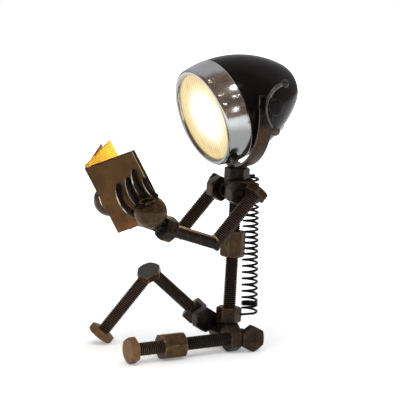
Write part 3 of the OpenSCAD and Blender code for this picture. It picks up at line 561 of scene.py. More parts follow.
threaded_steel = old_steel("threaded_steel", 0.45, swing=0.4, wear_glint_share=1.0, broken=0.5,
                           bare_and_glint=(0.25, 0.165, 0.115), gloss=0.07)
rusty_steel = old_steel("rusty_steel")
dark_steel = old_steel("dark_steel", 0.36, rust=0.25)
yoke_iron = old_steel("yoke_iron", 0.4, swing=0.2, bare_and_glint=(0.26, 0.21, 0.17))
bead_metal = old_steel("weld_bead", 0.3, wear_glint_share=0.9)
# Fingers and palms: the pale worn colour is painted glints and highlights as much as wear.
finger_iron = old_steel("finger_steel", 0.26, grain=0.1, wear_glint_share=1.0, rust=0.2,
                        bare_and_glint=(0.85, 0.76, 0.62))
lever_steel = old_steel("lever_steel", 0.3, wear_glint_share=1.0, rust=0.1, broken=0.7,
                        bare_and_glint=(0.30, 0.28, 0.26))
spring_steel = old_steel("spring_steel", 0.34, swing=0.1, grain=0.2, wear_glint_share=0.3, rust=0.0)
knee_steel = old_steel("knee_steel", 0.36)
knee_steel.paint(knee_steel.colour,
                 (knee_steel.mark("tone").smooth(1.2, 1.6), (0.060, 0.060, 0.054)))
print("steels:", [m.name for m in bpy.data.materials if "steel" in m.name])

# %% [markdown]
# ## Hexagons
# A forged hexagon isn't a sharp prism. Its corners are turned off to a cone, which draws
# the curved edges on each flat, and every edge is a little round. The outline comes from a
# rule that blends the six flats, and the profile runs over the face, down the cone, down
# the flat and back, always as one grid.

# %% A hexagonal surface
COLS, SOFT, UNEVEN = 96, 0.35, 0.12


def hex_radius(angle, flat, sharp=46):
    """Radius of a hexagon with soft corners: flat / (sum over flats of cos^sharp)^(1/sharp)."""
    total = sum(np.maximum(0, np.cos(angle - radians(30 + 60 * k))) ** sharp for k in range(6))
    return flat / total ** (1 / sharp)


def hexagon(height, flat=FLAT, head=False, bore=0.0):
    """Grid of a hexagon from z = 0 to height. Faces end at a circle; past it each face drops
    by tan(30) times the distance out to the hexagon's own outline. The upper face of a bolt
    head, where the shank starts, doesn't drop."""
    angle, rim = circle(COLS), flat / cos(THIRTY) - CUT
    out = hex_radius(angle, flat)

    def face(z, sign, slope):
        """Rows from the hole out to the side, as (radius, height, wear)."""
        drop = np.maximum(0, out - rim) * slope
        edge = z - sign * drop
        return [(bore, z, 0.1), (rim * 0.6 + bore * 0.4, z, 0.15), (rim - SOFT, z, 0.5),
                (rim + SOFT * 0.2, z - sign * 0.03, 0.9),
                ((rim + out) / 2, z - sign * (drop * 0.5 + 0.02), 0.35),
                (out - SOFT, edge + sign * SOFT * slope, 0.8),
                (out - SOFT * 0.25, edge - sign * SOFT * 0.25, 1.0),
                (out, edge - sign * SOFT * 1.1, 0.8)]

    low, high = face(0.0, -1, tan(THIRTY)), face(height, 1, 0.0 if head else tan(THIRTY))
    z0, z1 = low[-1][1], high[-1][1]
    corner = 0.85 * ((out - flat) / (out.max() - flat)) ** 3
    rows = low + [(out, z0 + (z1 - z0) * t, corner) for t in (0.12, 0.3, 0.5, 0.7, 0.88)]
    rows += high[::-1]
    return (np.array([polar(r, angle, z) for r, z, rub_and_glint in rows]),
            np.array([np.broadcast_to(rub_and_glint, COLS) for r, z, rub_and_glint in rows]))


def hex_grid(at, height, seed, flat=FLAT, head=False, wear_glint_share=1.0):
    """A placed hexagon whose faces wander by a tenth of a millimetre, as forged ones do."""
    P, rub_and_glint = hexagon(height - SKIN, flat, head)
    P[..., :2] *= (1 - UNEVEN / flat * (0.5 + 0.5 * lumps(P, 7.0, seed)))[..., None]
    P = put(P + Z * SKIN / 2, at)
    P[..., 2] = np.maximum(P[..., 2], 0.0)
    return P, rub_and_glint * wear_glint_share, True


def nut(name, node, at, height, seed, finish, tone, flat=FLAT):
    piece(name, [hex_grid(at, height, seed, flat)], node, finish, tone)


print("hexagon grid:", hexagon(NUT)[0].shape)

# %% [markdown]
# ## Threaded rod
# A rolled thread is a ridge that climbs as it goes round. The grid climbs with it: each
# column starts a little higher than the last, so its last column meets its first one whole
# turn further up. The ridge then lies exactly along the grid, and few rows are enough.

# %% A climbing grid
PITCH, DEPTH, CREST = 2.55, 1.25, 0.4
# Rows of one turn: height as a share of the pitch, depth as a share of DEPTH, wear (the crest's
# wear and painted glint)
RIDGE = np.array([(0.0, 0.0, 1), (0.14, 0.0, 1), (0.20, 0.15, 0), (0.42, 1.0, 0),
                  (0.74, 1.0, 0), (0.94, 0.15, 0)])


def thread(at, start, length, polish_and_glint, end_cut=None, radius=ROD, cols=60):
    """Points (r cos a, r sin a, z) with z = pitch (turn + a / 2 pi); r goes crest, crest,
    flank, root, root, flank through each turn. Heights are clipped to the rod's own ends."""
    radius, angle = radius + CREST, circle(cols)
    beyond = end_cut(angle) if end_cut else 0 * angle
    turns = ceil((length + radius * beyond.max() - start) / PITCH) + 4
    up, deep, rub_and_glint = np.tile(RIDGE, (turns, 1)).T[..., None]
    step = np.repeat(np.arange(turns) - 1, len(RIDGE))[:, None] + up
    z = start + PITCH * (step + angle / (2 * pi))
    r = radius - SKIN - DEPTH * deep + 0 * angle
    top = length + beyond * r
    inside = (z > start) & (z < top)
    P = polar(np.where(inside, r, radius - DEPTH), angle, np.clip(z, start, top))
    i, j = np.meshgrid(np.arange(len(z) - 1 - len(RIDGE)), np.arange(cols), indexing="ij")
    n, jump = (j + 1) % cols, np.where(j == cols - 1, len(RIDGE), 0)
    cells = np.stack([i * cols + j, (i + jump) * cols + n, (i + 1 + jump) * cols + n,
                      (i + 1) * cols + j], -1).reshape(-1, 4)
    shine = polish_and_glint(P[..., 2]) if callable(polish_and_glint) else polish_and_glint
    return put(P, at), rub_and_glint * inside * shine, True, cells


def plain_rod(at, length, seed, end_cut=None):
    """A bar with softly broken ends, straight from z = 0 to length."""
    t = np.concatenate([[0, 0, 0.004], np.linspace(0.02, 0.98, 40), [0.996, 1, 1]])
    r, angle = np.full(t.shape, ROD - SKIN), circle(48)
    r[[0, -1]], r[[1, -2]] = 0.0, ROD - 0.6
    top = length + (end_cut(angle) * ROD if end_cut else 0)
    P = polar(r[:, None], angle, top * t[:, None])
    P[..., :2] *= (1 - 0.08 / ROD * (0.5 + 0.5 * lumps(P, 9.0, seed)))[..., None]
    return put(P, at), 0.18 + 0.15 * lumps(P, 14.0, seed), True


print("thread grid ready, pitch", PITCH, "mm")

# %% [markdown]
# ## Legs
# The left leg is one long bolt lying on the table, with its head as the foot, a coupling
# nut as the knee and a nut at the hip. The right leg is two bolts, welded at the knee.

# %% Left leg
leg_at = facing(-Z, Y, [LEG_X, FOOT_Y, LEG_Z], 30)
piece("left_leg_bolt",
      [hex_grid(leg_at, HEAD, 1.0, LEG_FLAT, head=True, wear_glint_share=0.3),
       thread(leg_at, HEAD - 1, -FOOT_Y + SEAT_Y,
              lambda z: 0.8 - 0.45 * share(z - 60, 20))],
      "near_leg_bolt", threaded_steel,
      lambda P: np.where(P[:, 1] < FOOT_Y + HEAD, 0.9,
                         0.24 - 0.16 * share(P[:, 1] + 130, 45)))
nut("left_knee_nut", "near_knee_nut", facing(-Z, Y, [LEG_X, KNEE_Y - KNEE_L / 2, LEG_Z], 49),
    KNEE_L, 2.0, rusty_steel, 0.6, LEG_FLAT)
nut("left_hip_nut", "near_hip_nut", facing(-Z, Y, [LEG_X, NUT_REAR - NUT, LEG_Z], 30),
    NUT, 3.0, rusty_steel, 0.32, LEG_FLAT)
for side, node, mirror, inner in (("left", "near", 1, PELVIS_LEFT),
                                  ("right", "far", -1, PELVIS_L - PELVIS_LEFT)):
    bolt = [hex_grid(facing(Y, -X, [SEAT_X + HEAD, SEAT_Y, LEG_Z]), HEAD, 4.0, LEG_FLAT,
                     head=True),
            plain_rod(facing(Y, X, [inner, SEAT_Y, LEG_Z]), SEAT_X - inner + 1, 4.0)]
    piece(side + "_seat_bolt", [(P * [mirror, 1, 1], *rest) for P, *rest in bolt],
          node + "_seat_bolt", rusty_steel, 0.3)
print("left leg dressed")

# %% Right leg
piece("right_thigh_bolt", [plain_rod(along(knee - thigh_dir * 2.5, -thigh_dir),
                                     THIGH_L - 2.5 + THIGH_NUT / 2, 5.0)],
      "far_thigh_bolt", dark_steel, 0.26)
knee_at = along(knee_head + knee_head_dir * HEAD / 2, -knee_head_dir,
                turn_towards(-knee_head_dir, shin_dir))
piece("right_knee_head", [hex_grid(knee_at, HEAD, 5.5, head=True)],
      "far_knee_head", knee_steel,
      lambda P: np.where((P - knee_head) @ knee_head_dir > HEAD / 2 - 0.7, 1.9, 0.55),
      "rusty_steel")
nut("right_thigh_nut", "far_thigh_nut",
    along(thigh_start - thigh_dir * THIGH_NUT / 2, thigh_dir, turn_towards(thigh_dir, X) + 30),
    THIGH_NUT, 6.0, dark_steel, 0.22)
shin_at = along(sole, -shin_dir, turn_towards(-shin_dir, -Z))
piece("right_shin_bolt", [hex_grid(shin_at, HEAD, 7.0, LEG_FLAT, head=True, wear_glint_share=0.3),
                          thread(shin_at, HEAD - 1, SHIN_L - 5.5, 0.85)],
      "far_shin_bolt", threaded_steel,
      lambda P: np.where((P - sole) @ -shin_dir < HEAD, 0.82, 0.26))
across_x, step = facing(Y, X, [0, 0, 0]), FLAT + CORNER
nut("right_hip_hexagon", "far_hip_hex",
    spine(PELVIS_AT + step * sin(THIRTY), -22.0, -step * cos(THIRTY)) @ across_x,
    14.0, 8.0, dark_steel, 0.2)
print("right leg dressed")

# %% [markdown]
# ## Spine
# One threaded rod carries the hip nut, the long chest nut and the neck nut. The pelvis
# nut lies across under it.

# %% Spine and its nuts
nut("pelvis", "pelvis_nut",
    spine(PELVIS_AT, PELVIS_LEFT - PELVIS_L) @ across_x @ turn_z(30),
    PELVIS_L, 9.0, rusty_steel, 0.28)
nut("hip_nut_top", "hip_nut", spine(HIP_BOTTOM), HIP_H, 10.0, rusty_steel, 0.38)
piece("spine_thread", [thread(spine(0), HIP_BOTTOM + 0.1, NECK_TOP - 0.1, 0.35)],
      "spine_rod", threaded_steel, 0.04)
nut("chest", "chest_nut", spine(CHEST_AT - CHEST_L / 2, turn=12), CHEST_L, 11.0,
    rusty_steel, 0.48)
nut("collar", "collar_nut", spine(COLLAR_AT - COLLAR_H / 2), COLLAR_H, 12.0, dark_steel, 0.2)
nut("neck_top", "neck_nut", spine(NECK_TOP - NUT), NUT, 13.0, dark_steel, 0.2)
print("spine dressed")

# %% [markdown]
# ## Arms
# Each upper arm is a bolt that starts at the shoulder nut, and each forearm is a plain bar.
# The two are cut at the same slant, so that they meet in an oval. The slanted end of a rod
# is a cosine of the angle round it: the height at which each line along it hits the plane.

# %% Shoulders, arms and forearms
def slant(at, plane_normal):
    """How far beyond its axis each line along a rod runs, per unit of radius, to end on a
    plane through the end of that axis."""
    n = at[:3, :3].T @ plane_normal
    return lambda angle: -(n[0] * np.cos(angle) + n[1] * np.sin(angle)) / n[2]


def hollow_hex(height, bore, seed):
    """A nut with an open hole: the hexagon's grid, carried on down the wall of the hole,
    and a lumpy plug of weld inside."""
    P, rub_and_glint = hexagon(height - SKIN, bore=bore)
    wall = np.array([P[-1], P[-1] * [1, 1, 0.66], P[-1] * [1, 1, 0.33], P[0]])
    plug = lathe([(0, height - 2.6), (bore * 0.5, height - 2.2), (bore * 0.85, height - 3.0),
                  (bore + 0.02, height - 4.2)], COLS)[0]
    plug[..., 2] += 0.9 * lumps(plug, 3.0, seed)
    return [(P + Z * SKIN / 2, rub_and_glint, True), (wall + Z * SKIN / 2, 0.05, True), (plug, 0.5, True)]


def lamp_lit_strip(P):
    """1 in a narrow strip along the top of the forearm, where a highlight of lamplight is painted,
    0 elsewhere.
    """
    P = left_side(P)
    line = elbow + fore_dir * ((P - elbow) @ fore_dir)[..., None]
    return (share(P[..., 2] - line[..., 2] - 4.4, 1.3)
            * share(P[..., 0] - elbow[0] + 7, 4))


def wrist_lit_top_and_rust(P):
    """Dark flats, a painted straw-gold highlight along the top corner, and rust on the lowest one.
    """
    high = P[:, 2] - wrist[2]
    return 0.25 + 0.9 * share(high - 12, 3) + 0.5 * share(-high - 11, 3)


shoulder_at = facing(Y, X, [SHOULDER_IN, 2.0, 201.8])
arm_at = along(arm_head - arm_dir * HEAD / 2, arm_dir, turn_towards(arm_dir, -X) + 30)
reach = np.linalg.norm(elbow - arm_head) + HEAD / 2
fore_end = wrist + fore_dir * 17.0
back_at = along(fore_end, -fore_dir)
bar, rub_and_glint, wrap = plain_rod(back_at, np.linalg.norm(fore_end - elbow), 16.0,
                           slant(back_at, mitre))
# The forearm's top strip is a painted highlight of lamplight, in both its wear and its tone.
pairs(("_shoulder", placed(hollow_hex(NUT, 6.5, 14.0), shoulder_at), "_shoulder_nut",
       dark_steel, 0.3),
      ("_upper_arm", [hex_grid(arm_at, HEAD, 15.0, head=True, wear_glint_share=0.4),
                      thread(arm_at, HEAD - 1, reach, 0.68, slant(arm_at, mitre), ROD + 0.5)],
       "_arm_bolt", threaded_steel,
       lambda P: np.where((left_side(P) - arm_head) @ arm_dir < HEAD / 2, 0.34, 0.0)),
      ("_lower_arm", [(bar, np.maximum(rub_and_glint, lamp_lit_strip(bar)), wrap)], "_forearm", dark_steel,
       lambda P: 0.22 + 1.15 * lamp_lit_strip(P)),
      ("_wrist", [hex_grid(along(wrist - fore_dir * 8.0, fore_dir, 10), 16.0, 17.0)],
       "_wrist_nut", dark_steel, wrist_lit_top_and_rust))
print("arms dressed")

# %% [markdown]
# ## Hands
# The palm is a hollow steel ball with its top cut off, and four bent rods run from it over
# the book's cover. Each finger is a circle carried along an arc; where it would sink into
# the cover it is flattened against it, as a weld would leave it.

# %% Palms
PALM_R, PALM_WALL, PALM_RIM = 20.5, 2.5, 15.5
outer, inner = [arc((0, 0), r, -pi / 2, asin(PALM_RIM / r) - 0.02, rows)
                for r, rows in ((PALM_R - SKIN, 40), (PALM_R - PALM_WALL, 30))]
lip = [(outer[-1, 0] * t + inner[-1, 0] * (1 - t), PALM_RIM - SKIN) for t in (0.75, 0.25)]
# The lip is marked for wear and for painted glints.
cup, rub_and_glint, wrap = lathe(np.concatenate([outer, lip, inner[::-1]]),
                       wear=[0.1] * 38 + [0.5, 0.75, 0.6, 0.4] + [0.0] * 30)
rub_and_glint = rub_and_glint * np.clip(0.8 + 0.6 * lumps(cup, 3.0, 4.0), 0, 1.1)
rim_near = np.exp(-((cup[..., 2] - PALM_RIM) / 2.2) ** 2)
dent = (0.012 * (0.5 + 0.5 * lumps(cup, 8.0, 2.0))
        + 0.05 * rim_near * (0.5 + 0.5 * lumps(cup, 3.4, 5.0)))


def palm_tone_and_glow(P):
    """A painted golden glow of reflected lamplight inside the cup; nearly black at its rim, brown
    outside.
    """
    local = left_side(P) - palm
    within = np.linalg.norm(local, axis=1) < PALM_R - 1.4
    return np.where(within, 1.3, 0.47 - 0.4 * share(local @ palm_up - 10, 4))


pairs(("_hand_cup", [(put(cup * (1 - dent[..., None]), along(palm, palm_up)), rub_and_glint, wrap)],
       "_palm", finger_iron, palm_tone_and_glow, "dark_steel"))
print("palms:", cup.shape)

# %% Fingers
book_lean, BOOK_OPEN = radians(28.5), 40.9
book_at = columns(X, [0, cos(book_lean), sin(book_lean)], [0, -sin(book_lean), cos(book_lean)],
                  [0, -153.5, 160.7])
cover_at = book_at @ turn_z(-BOOK_OPEN)
palm_c = (palm - book_at[:3, 3]) @ cover_at[:3, :3]
FINGER, SHEET, CURVE = 4.0, 1.2, 36.0
# Angle and rise at which a finger leaves the palm, its lean, and its tip across and up
FINGERS = [(76, -3, 60, 29.4, 60.8), (42, 22, 60, 43.7, 64.3), (5, 34, 50, 55.5, 71.4),
           (-60, 36, 60, 62.5, 56.9)]


def finger(root, tip, lean_by, rows=44):
    """A circle carried along an arc from root to tip that bows away from the cover, leaning
    over to the side (local x points out of the cover), with a rounded, flattened end."""
    half = asin(np.linalg.norm(tip - root) / 2 / CURVE)
    forward = unit(tip - root)
    outward = unit(X - forward * forward[0])
    outward = outward * cos(lean_by) - np.cross(forward, outward) * sin(lean_by)
    turn, t = np.linspace(-half, half, rows)[:, None], np.linspace(0, 1, rows)
    radial = outward * np.cos(turn) + forward * np.sin(turn)
    line = (root + tip) / 2 - outward * CURVE * cos(half) + radial * CURVE
    girth = FINGER * np.sqrt(1 - share(t - 0.93, 0.07) ** 2) * (1 - 0.1 * t)
    girth[:2] = 0, FINGER
    towards = around(radial, np.cross(forward, outward), 28)
    P = line[:, None] + towards * girth[:, None, None]
    # Painted highlight: a bright line along the side of each finger that faces up and towards the
    # fold, over a little wear everywhere.
    rub_and_glint = 0.2 + 0.85 * share(towards @ unit([0.55, -0.8, 0.2]) - 0.80, 0.1)
    rub_and_glint = rub_and_glint * np.clip(0.9 + 0.35 * lumps(P, 5.0, lean_by), 0, 1)
    P[..., 0] = np.maximum(P[..., 0], SHEET + SKIN)
    return P, rub_and_glint, True


hand = []
for leave, rise, lean_by, across, high in FINGERS:
    a, b = radians(leave), radians(rise)
    root = palm_c + (PALM_R - 1) * np.array([-cos(b) * cos(a), -cos(b) * sin(a), sin(b)])
    hand.append(finger(root, np.array([SHEET, across, high]), radians(lean_by)))
pairs(("_finger_rods", placed(hand, cover_at), "_fingers", finger_iron, 0.1, "dark_steel"))
print("fingers:", len(hand), "on each hand")

# %% [markdown]
# ## Spring
# A pulled spring hangs straight behind the spine: a circle carried along a helix whose
# climb per turn changes, closed near the foot and open above. The height of the wire is a
# running sum of those climbs, so the coil stays smooth where the spacing changes.

# %% Coil and its two straight ends
SPRING_R, WIRE, PER_TURN = 9.3, 1.55, 40
foot, top = np.array([0, 33, 41.5]), np.array([-6, 38.6, 219])
turns, climbs = np.array([1, 2, 7, 15]), np.array([9.4, 2.5, 8.1, 7.12])
climb = np.repeat(climbs / PER_TURN, turns * PER_TURN)
soft = np.convolve(np.pad(climb, 10, mode="edge"), np.ones(21) / 21, mode="valid")
height = np.concatenate([[0], np.cumsum(soft)])
height *= turns @ climbs / height[-1]
coil = polar(SPRING_R, np.arange(len(height)) * 2 * pi / PER_TURN, height)


def tube(path, radius, cols):
    """A circle carried along a path. Its frame is carried from row to row by projecting
    the last sideways vector on the plane across the next step."""
    ahead = np.gradient(path, axis=0)
    ahead /= np.linalg.norm(ahead, axis=1, keepdims=True)
    sides = [np.cross(ahead[0], [0.3, 0.5, 0.81])]
    for d in ahead:
        sides.append(unit(sides[-1] - d * np.dot(sides[-1], d)))
    side = np.array(sides[1:])
    return capped(sweep(path, side, np.cross(ahead, side), radius, cols)), 0.3, True


def tail(length, z):
    """A straight run that ends at the coil's first point, at height z."""
    return np.linspace([SPRING_R, -length, z], [SPRING_R, 0, z], 14)


wire = np.concatenate([tail(foot[1] - 15.1, 0)[:-1], coil, tail(12.0, height[-1])[-2::-1]])
spring_at = along(foot, top - foot, -degrees(atan2(*(top - foot)[[1, 0]])))
piece("back_spring", placed([tube(wire, WIRE - 0.03, 12)], spring_at), "spring", spring_steel)
print("spring turns:", turns.sum())

# %% [markdown]
# ## Book
# The book is folded from one sheet of metal, with a lining sheet and one page standing in
# it, golden where the lamp shines. The sheets are slightly hammered, so they catch light
# in soft patches; they keep their outlines.

# %% Sheets with hammered faces
def sheet(width, height, thick, seed, start=0.0, low=0.0, dents=0.22):
    """Closed plate in the plane x = 0..thick, y = start..width, z = low..height. Both faces
    carry the same shallow dents, which fade to nothing at the outline."""
    z, y = np.meshgrid(np.linspace(low, height, 48), np.linspace(start, width, 48),
                       indexing="ij")
    for inwards in (y - start, width - y, z - low, height - z):
        dents = dents * share(inwards, 6)
    flat = np.stack([0 * y, y, z], -1)
    dent = dents * lumps(flat + X * seed * 9, 9.0, seed)
    front, back = flat + X * thick, flat.copy()
    front[..., 0] -= np.maximum(dent, 0) * 0.5
    back[..., 0] += np.maximum(-dent, 0) * 0.5
    # Painted highlight: this mark rises to 1 at the fore edge, where a bright golden line is
    # painted.
    edge = 1 - share(width - y, 1.3)
    low_ring, high_ring = [np.concatenate([P[0], P[1:, -1], P[-1, -2::-1], P[-2:0:-1, 0]])
                           for P in (back, front)]
    wall = np.stack([low_ring, (low_ring + high_ring) / 2, high_ring])
    return [(front, edge, False), (back[:, ::-1], edge[:, ::-1], False),
            (wall, 0.2 + 0.8 * (wall[..., 1] > width - 0.5), True)]


COVER_H, COVER_W, THIN = 94.0, 63.8, 0.9
far_at = book_at @ turn_z(BOOK_OPEN) @ np.diag([-1.0, 1, 1, 1])
page_at = book_at @ turn_z(26) @ shift(-0.45)
lining_at = cover_at @ shift(-0.92)
left_cover = placed(sheet(COVER_W, COVER_H, SHEET, 1.0), cover_at)
# The far cover keeps only a little of that painted edge highlight.
right_cover = [(P, rub_and_glint * 0.15, wrap)
               for P, rub_and_glint, wrap in placed(sheet(COVER_W, COVER_H, SHEET, 2.0), far_at)]
fold = placed([tube(np.linspace([0, 0, 0], [0, 0, COVER_H], 24), SHEET, 20)], book_at)
page = sheet(61.0, COVER_H + 3.5, THIN, 3.0, start=1.5, low=0.5, dents=0.12)
lining = sheet(COVER_W + 3.2, COVER_H + 0.5, THIN, 4.0, start=8.0, low=-0.5)
print("sheet grids:", len(left_cover) + len(right_cover) + len(page) + len(lining))

# %% Aged brown sheet and bright golden sheet
brown = Finish("book_brown", 0.08, Metallic=0.45)
cloud, speck = brown.noise(0.03, 6, 0.6), brown.noise(0.003, 5, 0.7)
rusty = ((brown.axis(2) * -1 + 0.215) * 11 + (cloud - 0.5) * 1.3).smooth(0.0, 1.0)
# The last coat is the painted highlight along the fore edge, golden, laid where the wear mark is
# high.
brown.paint((0.072, 0.039, 0.017), (cloud.smooth(0.35, 0.68), (0.115, 0.062, 0.024)),
            (rusty * 0.9, (0.24, 0.10, 0.034)),
            (speck.smooth(0.58, 0.75) * 0.4, (0.04, 0.026, 0.014)),
            ((brown.mark("wear") * (0.4 + speck)).smooth(0.4, 0.9), (0.72, 0.54, 0.30)))
brown.set("Roughness", 0.46 + (cloud - 0.5) * 0.3 + speck * 0.08)
brown.bump(speck * 0.5 + cloud * 0.5, 0.0004)

gold = Finish("book_gold", 0.2, Metallic=0.35)
cloud, speck = gold.noise(0.02, 5), gold.noise(0.0025, 5, 0.7)
# The last coat is a painted shade: dark brown where the tone mark is 1, on the lining's outer face
# and edge.
gold.paint((0.350, 0.232, 0.018), (cloud.smooth(0.35, 0.7), (0.29, 0.168, 0.013)),
           (speck.smooth(0.6, 0.78) * 0.4, (0.20, 0.09, 0.02)),
           (gold.mark("tone"), (0.030, 0.014, 0.008)))
gold.set("Roughness", 0.5 + (cloud - 0.5) * 0.25)
gold.bump(speck * 0.6 + cloud * 0.4, 0.0003)
piece("book_covers", left_cover + right_cover + fold, "book_cover", brown, slot="book_sheet")
piece("golden_page", placed(page, page_at), "book_page", gold)
# Painted shade: tone 1 on the lining's outer face, which the gold finish paints dark brown.
piece("golden_lining", placed(lining, lining_at), "book_lining", gold,
      lambda P: ((P - lining_at[:3, 3]) @ lining_at[:3, 0] > 0.3).astype(float))
print("book dressed")

# %% [markdown]
# ## Yoke
# A flat bar bent to a U holds the head. Its section is a rectangle with slightly round
# corners, carried up one side, round the half circle and down the other, always square to
# the path, so the bar stays 3 mm thick everywhere.

# %% A bar carried round a U
def bar_section(width, thick, soft=0.5):
    """Outline of a bar with rounded corners: how far out and how far across it runs."""
    a = np.radians(np.linspace(0, 90, 4) + [[0], [90], [180], [270]])
    out = np.array([[1], [-1], [-1], [1]]) * (thick / 2 - soft) + soft * np.cos(a)
    across = np.array([[1], [1], [-1], [-1]]) * (width / 2 - soft) + soft * np.sin(a)
    return out.reshape(-1, 1), across.reshape(-1, 1)


YOKE_R, BAR_T, BAR_W, ARM_UP = 71.0, 3.0, 19.0, 96.0
upright = np.linspace(ARM_UP - SKIN, YOKE_R, 20)
turn = np.radians(np.concatenate([[180] * 20, np.linspace(180, 360, 90)[1:-1], [360] * 20]))
middle = np.concatenate([upright, [YOKE_R] * 88, upright[::-1]])
out = np.stack([np.cos(turn), 0 * turn, np.sin(turn)], -1)
path = (YOKE_R - BAR_T / 2) * out + middle[:, None] * Z
section, across = bar_section(BAR_W - 2 * SKIN, BAR_T - 2 * SKIN)
bar = capped(path[:, None] + out[:, None] * section + Y * across) + yoke_foot
# Lighter along both edges of the bar: partly wear, partly a painted rim of light.
wear_glint_share = np.clip(1.4 - 2.2 * np.minimum(np.abs(np.abs(across[:, 0]) - BAR_W / 2), 1.0), 0, 1)
# Painted shade: the yoke's upper part is darker than its lower part.
piece("yoke_bar", [(bar, wear_glint_share, True)], "yoke", yoke_iron,
      lambda P: 0.43 - 0.28 * share(P[:, 2] - pivot[2] + 30, 9))
print("yoke rows:", len(bar))

# %% [markdown]
# ## Weld beads
# Weld is laid in overlapping drops. At the elbow the bead is a ring in the slanted plane of
# the joint, with a ripple along it. The other beads keep the solids' shape and only get
# the bead's colour and a lumpy surface.

# %% Elbow rings
RING_R, BEAD_R, DROPS, OVAL = 7.9, 1.5, 22, 1.14


def lamp_lit_bead_top(P):
    """0 on the lower half of the elbow's bead, rising to 1 along its top, where a highlight of
    lamplight is painted.
    """
    return share(P[..., 2] - elbow[2] - 1, 5)


a = circle(220)
swell = BEAD_R * (0.86 + 0.14 * np.abs(np.cos(a * DROPS / 2)))
ring = sweep(polar(RING_R * (1 + (OVAL - 1) * np.cos(a) ** 2), a, 0), polar(1, a, 0), Z, swell, 20)
ring = put(np.concatenate([ring, ring[:1]]), along(elbow, mitre))
pairs(("_elbow_ring", [(ring, 0.5 + 0.6 * lamp_lit_bead_top(ring), True)], "_elbow_weld", bead_metal,
       lambda P: 0.22 + 0.9 * lamp_lit_bead_top(P)))
print("elbow beads ready")

# %% [markdown]
# ## Headlamp
# The lamp has its own frame: z runs back along its axis, y points down. Shell and rim are
# turned shapes, so each is a profile spun about that axis. The shell's profile is two arcs
# that touch without a corner: a wide one for the side, a tight one for the nose.

# %% Profile of the shell
tilt = radians(16.8) - pi / 2
head_at = columns(X, [0, cos(tilt), sin(tilt)], [0, -sin(tilt), cos(tilt)],
                  pivot) @ shift(0, 3.3, -24.0)
SHELL_R, SHELL_L, NOSE, WALL = 65.6, 107.0, 40.0, 1.2
SIDE = ((SHELL_L - NOSE) ** 2 + SHELL_R ** 2 - NOSE ** 2) / (2 * (SHELL_R - NOSE))


def shell_profile(inset):
    """Side arc about (SHELL_R - SIDE, 0), nose arc about (0, SHELL_L - NOSE); they meet
    where both centres and the point lie on one line."""
    meet = atan2(SHELL_L - NOSE, SIDE - SHELL_R)
    points = np.concatenate([arc((SHELL_R - SIDE, 0), SIDE - inset, 0, meet, 70),
                             arc((0, SHELL_L - NOSE), NOSE - inset, meet, pi / 2, 40)[1:]])
    points[-1, 0] = 0.0
    return points


mouth = [(SHELL_R - 0.12, 0.25), (SHELL_R - 0.5, SKIN)]
profile = np.concatenate([shell_profile(SKIN)[:0:-1], mouth, shell_profile(WALL)])
shell_grid = lathe(profile, 160)
print("shell profile:", profile.shape)

# %% [markdown]
# ## Enamel, chrome and lit glass
# Stove enamel is black, glossy and a little wavy, with dust and fine scratches that show
# only in its shine. Chrome is a mirror with faint scuffs. The lit lens glows: brightest
# where the bulb is, golden at the edge, with upright flutes that draw light and dark lines.

# %% Enamel and chrome
enamel = Finish("black_enamel", 0.05, Coat_Roughness=0.05)
dust, haze = enamel.noise(0.006, 6, 0.65), enamel.noise(0.05)
enamel.paint((0.0042, 0.0032, 0.0030), (haze.smooth(0.35, 0.7), (0.0075, 0.0050, 0.0044)))
enamel.set("Roughness", 0.2 + dust.smooth(0.45, 0.85) * 0.06 + (haze - 0.5) * 0.1)
enamel.set("Coat Weight", 0.01 + haze * 0.05)
enamel.bump(enamel.noise(0.03, 2) * 0.7 + dust * 0.02, 0.0003)

chrome = Finish("rim_chrome", Metallic=1.0)
scuff = chrome.noise(0.004, 7, 0.7, chrome.place((1, 1, 0.25)))
haze, spots = chrome.noise(0.03), chrome.noise(0.005, 6, 0.75).smooth(0.64, 0.70)
# The rim's colour is darker below a set height.
darker_below = ((chrome.axis(2) * -1 + 0.294) * 90).smooth(0.0, 1.0)
chrome.paint((0.44, 0.445, 0.455), (haze.smooth(0.35, 0.75), (0.37, 0.365, 0.36)),
             (darker_below, (0.270, 0.276, 0.275)), (spots * 0.7, (0.10, 0.08, 0.07)))
chrome.set("Roughness", 0.10 + scuff.smooth(0.5, 0.8) * 0.14 + haze * 0.06)
chrome.bump(scuff * 0.3 + haze, 0.00022)
piece("lamp_shell", placed([shell_grid], head_at), "shell", enamel, body="headlamp")
print("enamel and chrome ready")

# %% Chrome rim with its rolled bead
RIM_L, RIM_OUT, RIM_IN, RIM_WALL, LENS_R = 27.3, 66.0, 2.6, 1.0, 55.5
RIM_CURVE = (RIM_L ** 2 + RIM_IN ** 2) / (2 * RIM_IN)
BEAD = (RIM_OUT - RIM_IN - LENS_R) / 2


def barrel(inset, z):
    """Barrel arc: widest where it meets the shell, closing towards the bead."""
    return np.stack([RIM_OUT - RIM_CURVE + np.sqrt(RIM_CURVE ** 2 - z ** 2) - inset, z], -1)


rolled = arc((LENS_R + BEAD, -RIM_L), BEAD - SKIN, 0, radians(-205), 30)[1:]
neck_in = [(rolled[-1, 0] + 0.4, -RIM_L + 2.78), (barrel(RIM_WALL, -24.0)[0], -24.5)]
profile = np.concatenate([[(RIM_OUT - 0.3, -SKIN)], barrel(SKIN, np.linspace(-0.25, -RIM_L, 26)),
                          rolled, neck_in, barrel(RIM_WALL, np.linspace(-24.4, -SKIN, 16)),
                          [(RIM_OUT - 0.3, -SKIN)]])
piece("rim_ring", placed([lathe(profile, 180)], head_at), "rim", chrome, slot="chrome_rim",
      body="headlamp")
print("rim bead radius", round(BEAD, 2), "mm")

